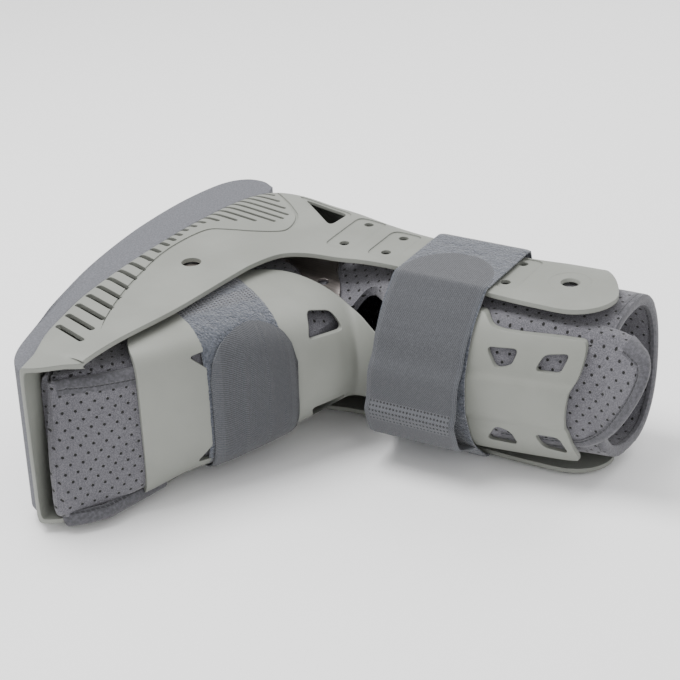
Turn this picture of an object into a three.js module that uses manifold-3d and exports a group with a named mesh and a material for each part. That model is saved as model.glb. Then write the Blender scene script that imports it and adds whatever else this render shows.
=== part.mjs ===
// Medical walking boot lying on its side, in millimetres
// The profile is drawn in a plan: x runs up the leg from the sole,
// and y from the heel (0) towards the toe (negative).
// z is the distance from the boot's middle plane. The last step moves the whole boot onto z = 0.
import * as THREE from 'three';
import { mergeVertices } from 'three/addons/utils/BufferGeometryUtils.js';
import Module from 'manifold-3d';

const wasm = await Module();
wasm.setup();

// Driving sizes
const ANKLE_HEIGHT = 152; // sole to the bend at the front of the ankle
const STRUT_RISE = 160; // ankle bend to the top of the struts
const LEG_DEPTH = 128; // back of the heel to the front of the shin
const FOOT_REACH = 176; // front of the shin to the toe
const BOOT_WIDTH = 116; // over the outside faces of the two struts
const SHELL_WALL = 3;
const OUTSOLE_DEPTH = 25; // deepest part of the rocker
const OUTSOLE_INSET = 4; // the rubber stands back from the shell's sides
const INSOLE_THICK = 6;
const LINER_WALL = 6;
const FLAP_WALL = 3.5;
const SHIN_FLAP_WALL = 5;
const GUARD_WALL = 3;
const STRAP_WALL = 2;
const TAB_WALL = 2;
const TAB_INSET = 1; // each tab is narrower than its strap by this much on either edge
const BRACKET_WALL = 1.5;
const GAP = 0.3; // clearance kept between pieces that touch
const LEG_SLACK = 2; // play between the liner and the struts

// Straps
const FOOT_STRAP_WIDTH = 58;
const FOOT_STRAP_SHIFT = 6; // the strap's middle from the rivet, towards the toe
const LEG_STRAP_WIDTH = 65;
const LEG_STRAP_UP = 204; // middle of the leg strap above the sole
const TAB_BULGE = 16; // how far the loose lower end of the leg tab stands off the strap
const FOOT_TAB_SIDE = 46; // the foot tab's tip above the middle plane
const FOOT_TAB_LOW = 54; // and its sewn end below it
const FOOT_TAB_WIDTH = 60;
const FOOT_TAB_SHIFT = 4; // the foot tab's middle lies this much nearer the ankle than the strap's

// Small features
const SHELL_FRONT_REACH = 20; // the side walls lean as if they closed this far in front of the instep
const SLOT_COUNT = 26;
const SLOT_LENGTH = 55;
const SLOT_WIDTH = 4.2;
const SLOT_INSET = 8; // slot ends from the underside of the sole plate
const SLOT_DEPTH = 14;
const LACE_HOLE_RADIUS = 3.3;
const TOP_HOLE_RADIUS = 4;
const RIVET_HOLE_RADIUS = 6.5;
const RIVET_RADIUS = 7.5;
const BRACKET_HOLE_RADIUS = 3.5;
const FLAP_TOP = 37; // how far the toe flap's free edge stands above the middle plane
const RIDGE_HEIGHT = 2; // raised middle panel of the shin guard
const RIDGE_HALF = 13;
const RIDGE_SLOPE = 4;

// Fineness of the faceted surfaces
const RING_POINTS = 18;
const ROW_STEP = 1; // rings at every row of the section table, the same for all layers
const SLOT_END_STEPS = 1; // steps round each slot's end, 1 is a plain end
const HALF_WIDTH = BOOT_WIDTH / 2;
const STACK = {
  guard: GAP + FLAP_WALL + GAP,
  strap: GAP + FLAP_WALL + GAP + GUARD_WALL + GAP,
  tab: GAP + FLAP_WALL + GAP + GUARD_WALL + GAP + STRAP_WALL + GAP,
};
const STACK_TOP = STACK.tab + TAB_WALL + GAP;
const LINER_FOOT_HALF = HALF_WIDTH - SHELL_WALL - STACK_TOP;
const LINER_LEG_HALF = HALF_WIDTH - SHELL_WALL - GAP - LEG_SLACK;

// A place in the plan from two shares.
// up: 0 at the sole, 1 at the ankle bend, 2 at the top of the struts.
// along: 0 at the back of the heel, 1 at the front of the shin, 2 at the toe.
function plan(up, along) {
  const x = up < 1 ? up * ANKLE_HEIGHT : ANKLE_HEIGHT + (up - 1) * STRUT_RISE;
  const y = along < 1 ? along * LEG_DEPTH : LEG_DEPTH + (along - 1) * FOOT_REACH;
  return new THREE.Vector2(x, -y);
}

// The liner's outside, a row for each section from the toe round the heel to the top of the leg.
// backUp to frontAlong: the two ends of the section in the plan,
// at the sole, heel or calf and at the instep or shin
// half: share of the liner's half width
// leg: from 0 in the foot to 1 in the leg
// bed: 1 where the insole lies under the section
// backSquare, frontSquare: how boxy the two ends are, 2 is an ellipse
// shell: how much of the boot's half width the shell takes up there
// sag: how much wider the lower side is than the upper one, as a share of the shell's wall
const SECTION_COLUMNS = [
  'backUp', 'backAlong', 'frontUp', 'frontAlong', 'half', 'leg', 'bed', 'backSquare', 'frontSquare', 'shell',
  'sag',
];
const SECTIONS = [
  [0.217, 1.892, 0.263, 1.883, 0.93, 0, 1, 5, 6, 0.93, 2],
  [0.164, 1.784, 0.362, 1.812, 0.97, 0, 1, 5, 6, 0.97, 2.3],
  [0.125, 1.642, 0.474, 1.705, 0.99, 0, 1, 5, 6, 0.99, 1],
  [0.092, 1.489, 0.566, 1.568, 1, 0, 1, 5, 5, 1, 0],
  [0.072, 1.284, 0.678, 1.403, 1, 0, 1, 5, 4.5, 1, 0],
  [0.066, 1.028, 0.789, 1.239, 1, 0, 1, 5, 3.6, 1, 0],
  [0.079, 0.688, 0.882, 1.102, 0.98, 0, 1, 5, 3, 1, 0],
  [0.118, 0.359, 0.941, 1.023, 0.96, 0, 1, 4.5, 2.6, 1, 0],
  [0.171, 0.172, 0.97, 0.977, 0.96, 0, 0.8, 4, 2.4, 1, 0],
  [0.26, 0.06, 0.985, 0.95, 0.96, 0.05, 0.3, 3.4, 2.3, 1, 0],
  [0.41, 0.03, 1, 0.935, 0.96, 0.15, 0, 2.8, 2.25, 1, 0],
  [0.61, 0.08, 1.03, 0.93, 0.97, 0.35, 0, 2.4, 2.2, 1, 0],
  [0.81, 0.15, 1.07, 0.93, 0.98, 0.6, 0, 2.3, 2.2, 1, 0],
  [1.01, 0.2, 1.14, 0.945, 0.99, 0.85, 0, 2.3, 2.3, 1, 0],
  [1.23, 0.22, 1.24, 0.955, 1, 1, 0, 2.3, 2.4, 1, 0],
  [1.54, 0.21, 1.54, 0.955, 1, 1, 0, 2.3, 2.45, 1, 0],
  [1.82, 0.2, 1.81, 0.91, 1, 1, 0, 2.3, 2.45, 1, 0],
  [2.05, 0.19, 2.03, 0.87, 0.98, 1, 0, 2.3, 2.45, 1, 0],
].map((row) => Object.fromEntries(SECTION_COLUMNS.map((name, column) => [name, row[column]])));
const LAST = SECTIONS.length - 1;
const WIDEST = 0.42; // where each section is widest, from its back end
const SHELL_FRONT_SQUARE = { foot: 3.4, leg: 4 };
const SHELL_BACK_SQUARE = { heel: 4, sole: 12 };
const END_ROW = 20; // length of one row past either end of the table

// Rows of the section table where pieces start, end or meet
const ROWS = {
  soleHeel: 8, // the heel's back end of the insole and the outsole's flat top
  heelSeam: 8, // the liner's foot part meets its heel part
  legSeam: 13, // and the heel part meets the leg part, where the flap and the shin guard start too
  guardTop: 14, // the instep guard and the brackets are cut from rows up to here
  bracket: 6,
  strap: { from: 1, to: 9 },
  flapEnd: 5,
};

// One section between the rows of the table. Past its ends the last section is carried straight on.
function sectionAt(place) {
  const inTable = Math.min(Math.max(place, 0), LAST);
  const low = Math.min(Math.floor(inTable), LAST - 1);
  const t = inTable - low;
  const rows = [Math.max(low - 1, 0), low, low + 1, Math.min(low + 2, LAST)].map((index) => SECTIONS[index]);
  const section = {};
  for (const name of Object.keys(SECTIONS[0])) {
    const [a, b, c, d] = rows.map((row) => row[name]);
    const bend = 2 * a - 5 * b + 4 * c - d;
    section[name] = b + 0.5 * t * (c - a + t * (bend + t * (3 * (b - c) + d - a)));
  }
  section.back = plan(section.backUp, section.backAlong);
  section.front = plan(section.frontUp, section.frontAlong);
  const towards = section.front.clone().sub(section.back).normalize();
  const onward = new THREE.Vector2(-towards.y, towards.x).multiplyScalar((place - inTable) * END_ROW);
  section.back.add(onward);
  section.front.add(onward);
  return section;
}

function blend(pair, share) {
  return pair.foot + (pair.leg - pair.foot) * share;
}

// The half axes of one layer of the boot: layers grow evenly off the liner, the shell has its own width
function layerAxes(section, layer) {
  const length = section.front.distanceTo(section.back);
  const liner = section.half * blend({ foot: LINER_FOOT_HALF, leg: LINER_LEG_HALF }, section.leg);
  const axes = {
    back: length * WIDEST + (layer.grow ?? 0),
    front: length * (1 - WIDEST) + (layer.grow ?? 0),
    half: liner + (layer.grow ?? 0),
    low: liner + (layer.grow ?? 0) + section.sag * SHELL_WALL,
    backSquare: section.backSquare,
    frontSquare: section.frontSquare,
  };
  if (layer.bed !== undefined) {
    axes.back += layer.bed * section.bed;
  }
  if (layer.wall !== undefined) {
    axes.back += GAP + (INSOLE_THICK + GAP) * section.bed + layer.wall;
    axes.front += STACK_TOP + SHELL_FRONT_REACH + layer.wall;
    axes.half = HALF_WIDTH * section.shell - SHELL_WALL + layer.wall;
    axes.low = axes.half;
    const { heel, sole } = SHELL_BACK_SQUARE;
    axes.backSquare = heel + (sole - heel) * section.bed;
    axes.frontSquare = blend(SHELL_FRONT_SQUARE, section.leg);
  }
  return axes;
}

// A closed ring of points round one section
function ringPoints(place, layer) {
  const section = sectionAt(place);
  const axes = layerAxes(section, layer);
  const towards = section.front.clone().sub(section.back).normalize();
  const length = section.front.distanceTo(section.back);
  const middle = section.back.clone().addScaledVector(towards, length * WIDEST);
  const points = [];
  for (let index = 0; index < RING_POINTS; index += 1) {
    const angle = (index / RING_POINTS) * Math.PI * 2;
    const isFront = Math.cos(angle) > 0;
    const square = isFront ? axes.frontSquare : axes.backSquare;
    const reach = Math.sign(Math.cos(angle)) * Math.abs(Math.cos(angle)) ** (2 / square);
    const half = Math.sin(angle) > 0 ? axes.half : axes.low;
    const side = Math.sign(Math.sin(angle)) * Math.abs(Math.sin(angle)) ** (2 / square) * half;
    const ridge = layer.ridge === undefined || !isFront ? 0 : ridgeAt(side) * layer.ridge;
    const out = reach * (isFront ? axes.front : axes.back) + ridge;
    points.push(new THREE.Vector3(middle.x + towards.x * out, middle.y + towards.y * out, side));
  }
  return points;
}

// 1 on the raised panel, falling to 0 over its slope
function ridgeAt(side) {
  return 1 - THREE.MathUtils.smoothstep(Math.abs(side), RIDGE_HALF, RIDGE_HALF + RIDGE_SLOPE);
}

// A closed solid through rings of equally many points
function loftGeometry(rings) {
  const positions = rings.flat().flatMap((point) => point.toArray());
  const index = [];
  const count = rings[0].length;
  for (let ring = 0; ring < rings.length - 1; ring += 1) {
    for (let step = 0; step < count; step += 1) {
      const a = ring * count + step;
      const b = ring * count + ((step + 1) % count);
      index.push(a, b, b + count, a, b + count, a + count);
    }
  }
  for (const ring of [0, rings.length - 1]) {
    const middle = new THREE.Vector3();
    rings[ring].forEach((point) => middle.addScaledVector(point, 1 / count));
    const centre = positions.length / 3;
    positions.push(...middle.toArray());
    for (let step = 0; step < count; step += 1) {
      const a = ring * count + step;
      const b = ring * count + ((step + 1) % count);
      index.push(...(ring === 0 ? [centre, b, a] : [centre, a, b]));
    }
  }
  const geometry = new THREE.BufferGeometry();
  geometry.setAttribute('position', new THREE.Float32BufferAttribute(positions, 3));
  geometry.setIndex(index);
  return geometry;
}

function toSolid(geometry) {
  const bare = geometry.clone();
  bare.deleteAttribute('normal');
  bare.deleteAttribute('uv');
  const merged = mergeVertices(bare, 1e-4);
  const mesh = new wasm.Mesh({
    numProp: 3,
    vertProperties: new Float32Array(merged.attributes.position.array),
    triVerts: new Uint32Array(merged.index.array),
  });
  const solid = new wasm.Manifold(mesh);
  return solid.volume() < 0 ? new wasm.Manifold(flipped(mesh)) : solid;
}

function flipped(mesh) {
  const turned = mesh.triVerts.slice();
  for (let corner = 0; corner < turned.length; corner += 3) {
    [turned[corner], turned[corner + 1]] = [turned[corner + 1], turned[corner]];
  }
  return new wasm.Mesh({ numProp: 3, vertProperties: mesh.vertProperties, triVerts: turned });
}

function toGeometry(solid) {
  const mesh = solid.getMesh();
  const geometry = new THREE.BufferGeometry();
  geometry.setAttribute('position', new THREE.BufferAttribute(mesh.vertProperties, 3));
  geometry.setIndex(new THREE.BufferAttribute(mesh.triVerts, 1));
  geometry.computeVertexNormals();
  return geometry;
}

// The boot's body at one layer, from one place in the section table to another
function bodySolid(layer, from, to) {
  const places = [from];
  for (let row = Math.floor(from / ROW_STEP + 1) * ROW_STEP; row < to; row += ROW_STEP) {
    places.push(row);
  }
  places.push(to);
  return toSolid(loftGeometry(places.map((place) => ringPoints(place, layer))));
}

// A solid of constant outline, from one height to another, across the boot or along a direction in the plan
function prism(shape, from, to, turn = new THREE.Matrix4()) {
  const settings = { depth: to - from, bevelEnabled: false, curveSegments: 3 };
  const geometry = new THREE.ExtrudeGeometry(shape, settings);
  geometry.translate(0, 0, from);
  geometry.applyMatrix4(turn);
  return toSolid(geometry);
}

// The same solid on both sides of the middle plane
function bothSides(shape, from, to) {
  return prism(shape, from, to).add(prism(shape, -to, -from));
}

// A smooth closed outline through points of the plan
function smoothOutline(points, perPoint) {
  const corners = points.map((point) => new THREE.Vector3(point.x, point.y, 0));
  const curve = new THREE.CatmullRomCurve3(corners, true);
  const samples = curve.getPoints(points.length * perPoint).slice(0, -1);
  return new THREE.Shape(samples.map((point) => new THREE.Vector2(point.x, point.y)));
}

// A straight-sided outline with rounded corners
function roundedOutline(points, radius, steps = 2) {
  const samples = [];
  points.forEach((corner, index) => {
    const before = points[(index + points.length - 1) % points.length];
    const after = points[(index + 1) % points.length];
    const near = Math.min(radius, corner.distanceTo(before) / 2, corner.distanceTo(after) / 2);
    const start = corner.clone().add(before.clone().sub(corner).setLength(near));
    const end = corner.clone().add(after.clone().sub(corner).setLength(near));
    samples.push(...new THREE.QuadraticBezierCurve(start, corner, end).getPoints(steps));
  });
  return new THREE.Shape(samples);
}

function circleOutline(centre, radius, points = 12) {
  const shape = new THREE.Shape();
  for (let index = 0; index < points; index += 1) {
    const angle = (index / points) * Math.PI * 2;
    const x = centre.x + Math.cos(angle) * radius;
    const y = centre.y + Math.sin(angle) * radius;
    index === 0 ? shape.moveTo(x, y) : shape.lineTo(x, y);
  }
  shape.closePath();
  return shape;
}

// Shell profile in the plan, from the toe along the sole, round the heel and up and down the strut
const SHELL_PROFILE = [
  { up: 0.18, along: 2.0 },
  { up: 0.13, along: 1.93 },
  { up: 0.08, along: 1.81 },
  { up: 0.02, along: 1.6 },
  { up: -0.03, along: 1.3 },
  { up: -0.04, along: 1.06 },
  { up: -0.03, along: 0.7 },
  { up: 0.0, along: 0.4 },
  { up: 0.05, along: 0.1 },
  { up: 0.16, along: -0.05 },
  { up: 0.4, along: -0.06 },
  { up: 0.6, along: 0.0 },
  { up: 0.84, along: 0.13 },
  { up: 0.98, along: 0.24 },
  { up: 1.14, along: 0.32 },
  { up: 1.32, along: 0.34 },
  { up: 1.54, along: 0.34 },
  { up: 1.67, along: 0.31 },
  { up: 1.8, along: 0.24 },
  { up: 1.87, along: 0.31 },
  { up: 1.95, along: 0.44 },
  { up: 2.0, along: 0.59 },
  { up: 1.97, along: 0.72 },
  { up: 1.88, along: 0.8 },
  { up: 1.74, along: 0.81 },
  { up: 1.54, along: 0.8 },
  { up: 1.3, along: 0.755 },
  { up: 1.11, along: 0.725 },
  { up: 0.95, along: 0.725 },
  { up: 0.8, along: 0.75 },
  { up: 0.68, along: 0.78 },
  { up: 0.59, along: 0.85 },
  { up: 0.54, along: 1.0 },
  { up: 0.52, along: 1.12 },
  { up: 0.48, along: 1.45 },
  { up: 0.42, along: 1.7 },
  { up: 0.38, along: 1.86 },
  { up: 0.33, along: 1.92 },
  { up: 0.25, along: 1.985 },
];

// The underside of the rubber sole, from the toe to the heel
const OUTSOLE_PROFILE = [
  { up: 0.18, along: 1.99, depth: 0 },
  { up: 0.11, along: 1.95, depth: 0 },
  { up: 0.05, along: 1.86, depth: 0 },
  { up: 0, along: 1.68, depth: 0 },
  { up: 0, along: 1.49, depth: 0.35 },
  { up: 0, along: 1.25, depth: 0.72 },
  { up: 0, along: 1.0, depth: 0.94 },
  { up: 0, along: 0.72, depth: 1 },
  { up: 0, along: 0.41, depth: 0.92 },
  { up: 0, along: 0.14, depth: 0.64 },
  { up: 0, along: 0.02, depth: 0.2 },
  { up: 0.06, along: 0.0, depth: 0 },
  { up: 0.14, along: 0.05, depth: 0 },
];

// Vent slots from the toe to the heel: place in the row of slots, length and width as shares, tilt in degrees
const SLOT_ROWS = [
  { at: 0, length: 0.45, width: 1, tilt: -20 },
  { at: 0.08, length: 0.5, width: 1, tilt: -20 },
  { at: 0.2, length: 0.38, width: 0.95, tilt: -21 },
  { at: 0.36, length: 0.18, width: 0.9, tilt: -22 },
  { at: 0.52, length: 0.09, width: 0.85, tilt: -18 },
  { at: 0.62, length: 0.16, width: 0.75, tilt: -12 },
  { at: 0.68, length: 0.44, width: 0.65, tilt: -11 },
  { at: 0.77, length: 0.92, width: 0.6, tilt: -11 },
  { at: 0.85, length: 0.86, width: 0.6, tilt: -11 },
  { at: 0.93, length: 0.44, width: 0.6, tilt: -9 },
  { at: 1, length: 0.12, width: 0.6, tilt: -3 },
];
const SLOT_TOE = 1.72; // along share of the first slot
const SLOT_HEEL = 0.14; // and of the last one
const SLOT_BUNCHING = 0.3; // how much closer the slots are at the heel

// Holes through the struts and side walls
const LACE_HOLES = [
  { up: 0.78, along: 0.58 },
  { up: 0.78, along: 0.32 },
  { up: 0.99, along: 0.59 },
  { up: 0.99, along: 0.4 },
  { up: 1.18, along: 0.61 },
  { up: 1.18, along: 0.4 },
  { up: 1.36, along: 0.62 },
  { up: 1.36, along: 0.41 },
  { up: 1.55, along: 0.65 },
  { up: 1.54, along: 0.42 },
];
const TOP_HOLE = { up: 1.78, along: 0.52 };
const RIVET_HOLE = { up: 0.29, along: 1.09 };
const HEEL_WINDOW = [
  { up: 0.37, along: 0.16 },
  { up: 0.64, along: 0.24 },
  { up: 0.63, along: 0.42 },
];
const HEEL_WINDOW_ROUND = 7;
const HEEL_CUP_TOP = 0.8; // up share where the heel cup ends at the back
const HEEL_CUP_DIP = 0.12;

function profilePoints(rows) {
  return rows.map((row) => plan(row.up, row.along));
}

// A value between the rows of a table that has an at column
function tableValue(rows, at, name) {
  const next = rows.findIndex((row) => row.at >= at);
  const high = rows[Math.max(next, 1)];
  const low = rows[Math.max(next, 1) - 1];
  const share = (at - low.at) / (high.at - low.at);
  return low[name] + (high[name] - low[name]) * share;
}

// The underside of the sole plate at the side of the shell, as x for a place along the foot
function soleLine(along) {
  const rows = SHELL_PROFILE.slice(1, 9).map((row) => ({ at: -row.along, up: row.up }));
  return plan(tableValue(rows, -along, 'up'), along);
}

function slotOutline(index) {
  const t = index / (SLOT_COUNT - 1);
  const along = SLOT_TOE + (SLOT_HEEL - SLOT_TOE) * t * (1 + SLOT_BUNCHING * (1 - t));
  const radius = (SLOT_WIDTH * tableValue(SLOT_ROWS, t, 'width')) / 2;
  const tilt = THREE.MathUtils.degToRad(tableValue(SLOT_ROWS, t, 'tilt'));
  const length = SLOT_LENGTH * tableValue(SLOT_ROWS, t, 'length');
  const direction = new THREE.Vector2(Math.cos(tilt), Math.sin(tilt));
  const start = soleLine(along);
  start.x += SLOT_WIDTH + SLOT_INSET;
  const points = [];
  for (const [end, turn] of [[0, Math.PI / 2], [length, -Math.PI / 2]]) {
    for (let step = 0; step <= SLOT_END_STEPS; step += 1) {
      const angle = tilt + turn + (step / SLOT_END_STEPS) * Math.PI;
      const centre = start.clone().addScaledVector(direction, end);
      points.push(centre.add(new THREE.Vector2(Math.cos(angle), Math.sin(angle)).multiplyScalar(radius)));
    }
  }
  return new THREE.Shape(points);
}

const FULL_WIDTH = HALF_WIDTH * 1.5; // more than the boot, for cuts right across it

function makeShell() {
  const outside = bodySolid({ wall: SHELL_WALL }, -1, LAST);
  const inside = bodySolid({ wall: 0 }, -1.5, LAST + 0.5);
  const profile = prism(smoothOutline(profilePoints(SHELL_PROFILE), 1), -FULL_WIDTH, FULL_WIDTH);
  let shell = outside.subtract(inside).intersect(profile);
  for (let index = 0; index < SLOT_COUNT; index += 1) {
    shell = shell.subtract(bothSides(slotOutline(index), HALF_WIDTH - SLOT_DEPTH, FULL_WIDTH));
  }
  for (const hole of LACE_HOLES) {
    const outline = circleOutline(plan(hole.up, hole.along), LACE_HOLE_RADIUS, 6);
    shell = shell.subtract(bothSides(outline, 0, FULL_WIDTH));
  }
  const top = circleOutline(plan(TOP_HOLE.up, TOP_HOLE.along), TOP_HOLE_RADIUS);
  const rivet = circleOutline(plan(RIVET_HOLE.up, RIVET_HOLE.along), RIVET_HOLE_RADIUS);
  const window = roundedOutline(profilePoints(HEEL_WINDOW), HEEL_WINDOW_ROUND);
  for (const outline of [top, rivet, window]) {
    shell = shell.subtract(bothSides(outline, HALF_WIDTH - SLOT_DEPTH, FULL_WIDTH));
  }
  return shell.subtract(heelCupCut());
}

// Cuts the back of the shell away above the heel, with a rounded dip in the middle
function heelCupCut() {
  const cup = plan(HEEL_CUP_TOP, 0).x;
  const dip = plan(HEEL_CUP_TOP - HEEL_CUP_DIP, 0).x;
  const wide = HALF_WIDTH * 0.8;
  const end = plan(2.2, 0).x;
  const outline = [
    new THREE.Vector2(cup + wide * 0.5, -wide),
    new THREE.Vector2(dip, -wide * 0.6),
    new THREE.Vector2(dip, wide * 0.6),
    new THREE.Vector2(cup + wide * 0.5, wide),
    new THREE.Vector2(end, wide),
    new THREE.Vector2(end, -wide),
  ];
  const acrossPlan = new THREE.Matrix4().makeRotationX(Math.PI / 2);
  return prism(roundedOutline(outline, wide * 0.4), -LEG_DEPTH, LEG_DEPTH, acrossPlan);
}

function makeOutsole() {
  const under = OUTSOLE_PROFILE.map((row) => {
    const point = plan(row.up, row.along);
    point.x -= OUTSOLE_DEPTH * row.depth;
    return point;
  });
  const above = SECTIONS.slice(1, ROWS.soleHeel + 1).map((row) => plan(row.backUp, row.backAlong)).reverse();
  const curve = new THREE.SplineCurve(under);
  const outline = new THREE.Shape([...curve.getPoints(26), ...above]);
  const half = HALF_WIDTH - OUTSOLE_INSET;
  const keep = prism(outline, -half, half);
  const tread = bodySolid({ wall: SHELL_WALL + OUTSOLE_DEPTH * 1.6 }, -1, ROWS.soleHeel + 2);
  return tread.intersect(keep).subtract(bodySolid({ wall: SHELL_WALL + GAP }, -1.5, ROWS.soleHeel + 3));
}

// A plate on the sole plate, its flat top just clear of the liner
function makeInsole() {
  const bed = bodySolid({ bed: INSOLE_THICK + GAP }, 0, ROWS.soleHeel + 1);
  const rows = SECTIONS.slice(0, ROWS.soleHeel + 1);
  const top = rows.map((row) => plan(row.backUp, row.backAlong).sub({ x: 2 * GAP, y: 0 }));
  const below = [...top].reverse().map((point) => new THREE.Vector2(point.x - INSOLE_THICK * 4, point.y));
  return bed.intersect(prism(new THREE.Shape([...top, ...below]), -FULL_WIDTH, FULL_WIDTH));
}

// The notch at the front of the ankle, where the foot goes in
const ANKLE_NOTCH = [
  { up: 0.82, along: 1.12 },
  { up: 0.88, along: 0.8 },
  { up: 0.94, along: 0.66 },
  { up: 1.04, along: 0.7 },
  { up: 1.14, along: 0.85 },
  { up: 1.17, along: 1.12 },
];
const ANKLE_NOTCH_ROUND = 9;

// One sewn length of the liner. Its lengths meet at rows of the section table, a small seam apart.
function makeLinerPart(from, to) {
  const outside = bodySolid({}, from, to);
  const inner = from === 0 ? LINER_WALL / END_ROW : from - 1;
  const inside = bodySolid({ grow: -LINER_WALL }, inner, to + 1);
  const notch = prism(roundedOutline(profilePoints(ANKLE_NOTCH), ANKLE_NOTCH_ROUND), -FULL_WIDTH, FULL_WIDTH);
  return outside.subtract(inside).subtract(notch);
}

// The row a seam's width past another row, measured at the back of the sections
function pastSeam(row) {
  const step = sectionAt(row + 1).back.distanceTo(sectionAt(row).back);
  return row + (2 * GAP) / step;
}

// Directions along the instep and straight out of it, both in the plan
const INSTEP_LOW = plan(0.51, 1.73);
const INSTEP_HIGH = plan(1.05, 0.9);
const INSTEP_ALONG = INSTEP_HIGH.clone().sub(INSTEP_LOW).normalize();
const INSTEP_OUT = new THREE.Vector2(-INSTEP_ALONG.y, INSTEP_ALONG.x).negate();
const INSTEP_LENGTH = INSTEP_HIGH.distanceTo(INSTEP_LOW);

// Turns a shape drawn along the instep and across the boot so that it is extruded out of the instep
function instepTurn() {
  const along = new THREE.Vector3(INSTEP_ALONG.x, INSTEP_ALONG.y, 0);
  const across = new THREE.Vector3(0, 0, 1);
  const out = new THREE.Vector3(INSTEP_OUT.x, INSTEP_OUT.y, 0);
  const turn = new THREE.Matrix4().makeBasis(along, across, out);
  return turn.setPosition(INSTEP_LOW.x, INSTEP_LOW.y, 0);
}

// A skin of one thickness over the boot's body
function layerSkin(layer, thick, from, to) {
  const outside = bodySolid({ ...layer, grow: layer.grow + thick }, from, to);
  const inside = bodySolid(layer, from - 1, to + 1);
  return outside.subtract(inside);
}

// The instep guard's lower edge down the side of the foot, closed off in front of the instep
const GUARD_SIDE = [
  { up: 0.7, along: 1.82 },
  { up: 0.4, along: 1.67 },
  { up: 0.35, along: 1.48 },
  { up: 0.36, along: 1.24 },
  { up: 0.47, along: 0.96 },
  { up: 0.61, along: 0.86 },
  { up: 0.78, along: 0.845 },
  { up: 0.94, along: 0.86 },
  { up: 1.22, along: 1.02 },
];
const GUARD_ROUND = 16;

// Vent holes of the instep guard: places along the instep and away from the middle, as shares
const INSTEP_VENTS = [
  [
    { along: 0.22, side: 0.64 },
    { along: 0.3, side: 0.44 },
    { along: 0.34, side: 0.66 },
  ],
  [
    { along: 0.73, side: 0.42 },
    { along: 0.77, side: 0.66 },
    { along: 0.88, side: 0.58 },
    { along: 0.9, side: 0.4 },
  ],
];
const VENT_ROUND = 4;

function ventOutline(rows, length, mirror) {
  const points = rows.map((row) => new THREE.Vector2(row.along * length, row.side * HALF_WIDTH * mirror));
  return roundedOutline(points, VENT_ROUND);
}

function makeInstepGuard() {
  const skin = layerSkin({ grow: STACK.guard }, GUARD_WALL, 0, ROWS.guardTop);
  const side = prism(roundedOutline(profilePoints(GUARD_SIDE), GUARD_ROUND), -FULL_WIDTH, FULL_WIDTH);
  let guard = skin.intersect(side);
  for (const mirror of [1, -1]) {
    for (const vent of INSTEP_VENTS) {
      const outline = ventOutline(vent, INSTEP_LENGTH, mirror);
      guard = guard.subtract(prism(outline, -LEG_DEPTH / 3, LEG_DEPTH, instepTurn()));
    }
  }
  return guard;
}

// The shin guard seen from the front: up the leg and away from the middle plane
const SHIN_GUARD_FRONT = [
  { up: 1.1, side: -0.62 },
  { up: 1.1, side: 0.62 },
  { up: 1.4, side: 0.74 },
  { up: 1.53, side: 0.85 },
  { up: 1.6, side: 0.74 },
  { up: 1.7, side: 0.72 },
  { up: 1.9, side: 0.73 },
  { up: 1.97, side: 0.69 },
  { up: 1.965, side: 0.4 },
  { up: 1.93, side: 0.16 },
  { up: 1.92, side: -0.2 },
  { up: 1.94, side: -0.48 },
  { up: 1.95, side: -0.66 },
  { up: 1.9, side: -0.74 },
  { up: 1.6, side: -0.74 },
  { up: 1.4, side: -0.74 },
];
const SHIN_VENTS = [
  [
    { up: 1.59, side: 0.56 },
    { up: 1.72, side: 0.58 },
    { up: 1.7, side: 0.4 },
    { up: 1.64, side: 0.34 },
  ],
  [
    { up: 1.79, side: 0.38 },
    { up: 1.82, side: 0.56 },
    { up: 1.92, side: 0.6 },
    { up: 1.89, side: 0.38 },
  ],
];

function frontTurn() {
  const up = new THREE.Vector3(1, 0, 0);
  const across = new THREE.Vector3(0, 0, 1);
  const out = new THREE.Vector3(0, -1, 0);
  return new THREE.Matrix4().makeBasis(up, across, out);
}

function frontPoint(row, mirror = 1) {
  return new THREE.Vector2(plan(row.up, 0).x, row.side * HALF_WIDTH * mirror);
}

const SHIN_STACK = GAP + SHIN_FLAP_WALL + GAP;
const SHIN_BACK = 0.72; // along share that the flap and the shin guard stop at

function makeShinGuard() {
  const outline = smoothOutline(SHIN_GUARD_FRONT.map((row) => frontPoint(row)), 2);
  const skin = layerSkin({ grow: SHIN_STACK, ridge: RIDGE_HEIGHT }, GUARD_WALL, ROWS.legSeam, LAST);
  let guard = skin.intersect(prism(outline, LEG_DEPTH * SHIN_BACK, LEG_DEPTH * 1.5, frontTurn()));
  for (const mirror of [1, -1]) {
    for (const vent of SHIN_VENTS) {
      const hole = roundedOutline(vent.map((row) => frontPoint(row, mirror)), VENT_ROUND);
      guard = guard.subtract(prism(hole, 0, LEG_DEPTH * 1.5, frontTurn()));
    }
  }
  return guard;
}

// The shin flap seen from the front, with its rounded free corner past the top of the struts
const SHIN_FLAP_FRONT = [
  { up: 1.16, side: -0.5 },
  { up: 1.16, side: 0.72 },
  { up: 1.6, side: 0.8 },
  { up: 2.04, side: 0.78 },
  { up: 2.17, side: 0.69 },
  { up: 2.21, side: 0.58 },
  { up: 2.21, side: 0.4 },
  { up: 2.17, side: 0.12 },
  { up: 2.1, side: -0.2 },
  { up: 2.02, side: -0.42 },
  { up: 1.92, side: -0.52 },
  { up: 1.6, side: -0.55 },
];

function makeShinFlap() {
  const outline = smoothOutline(SHIN_FLAP_FRONT.map((row) => frontPoint(row)), 2);
  const skin = layerSkin({ grow: GAP }, SHIN_FLAP_WALL, ROWS.legSeam, LAST + 2);
  return skin.intersect(prism(outline, LEG_DEPTH * SHIN_BACK, LEG_DEPTH * 1.5, frontTurn()));
}

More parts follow.
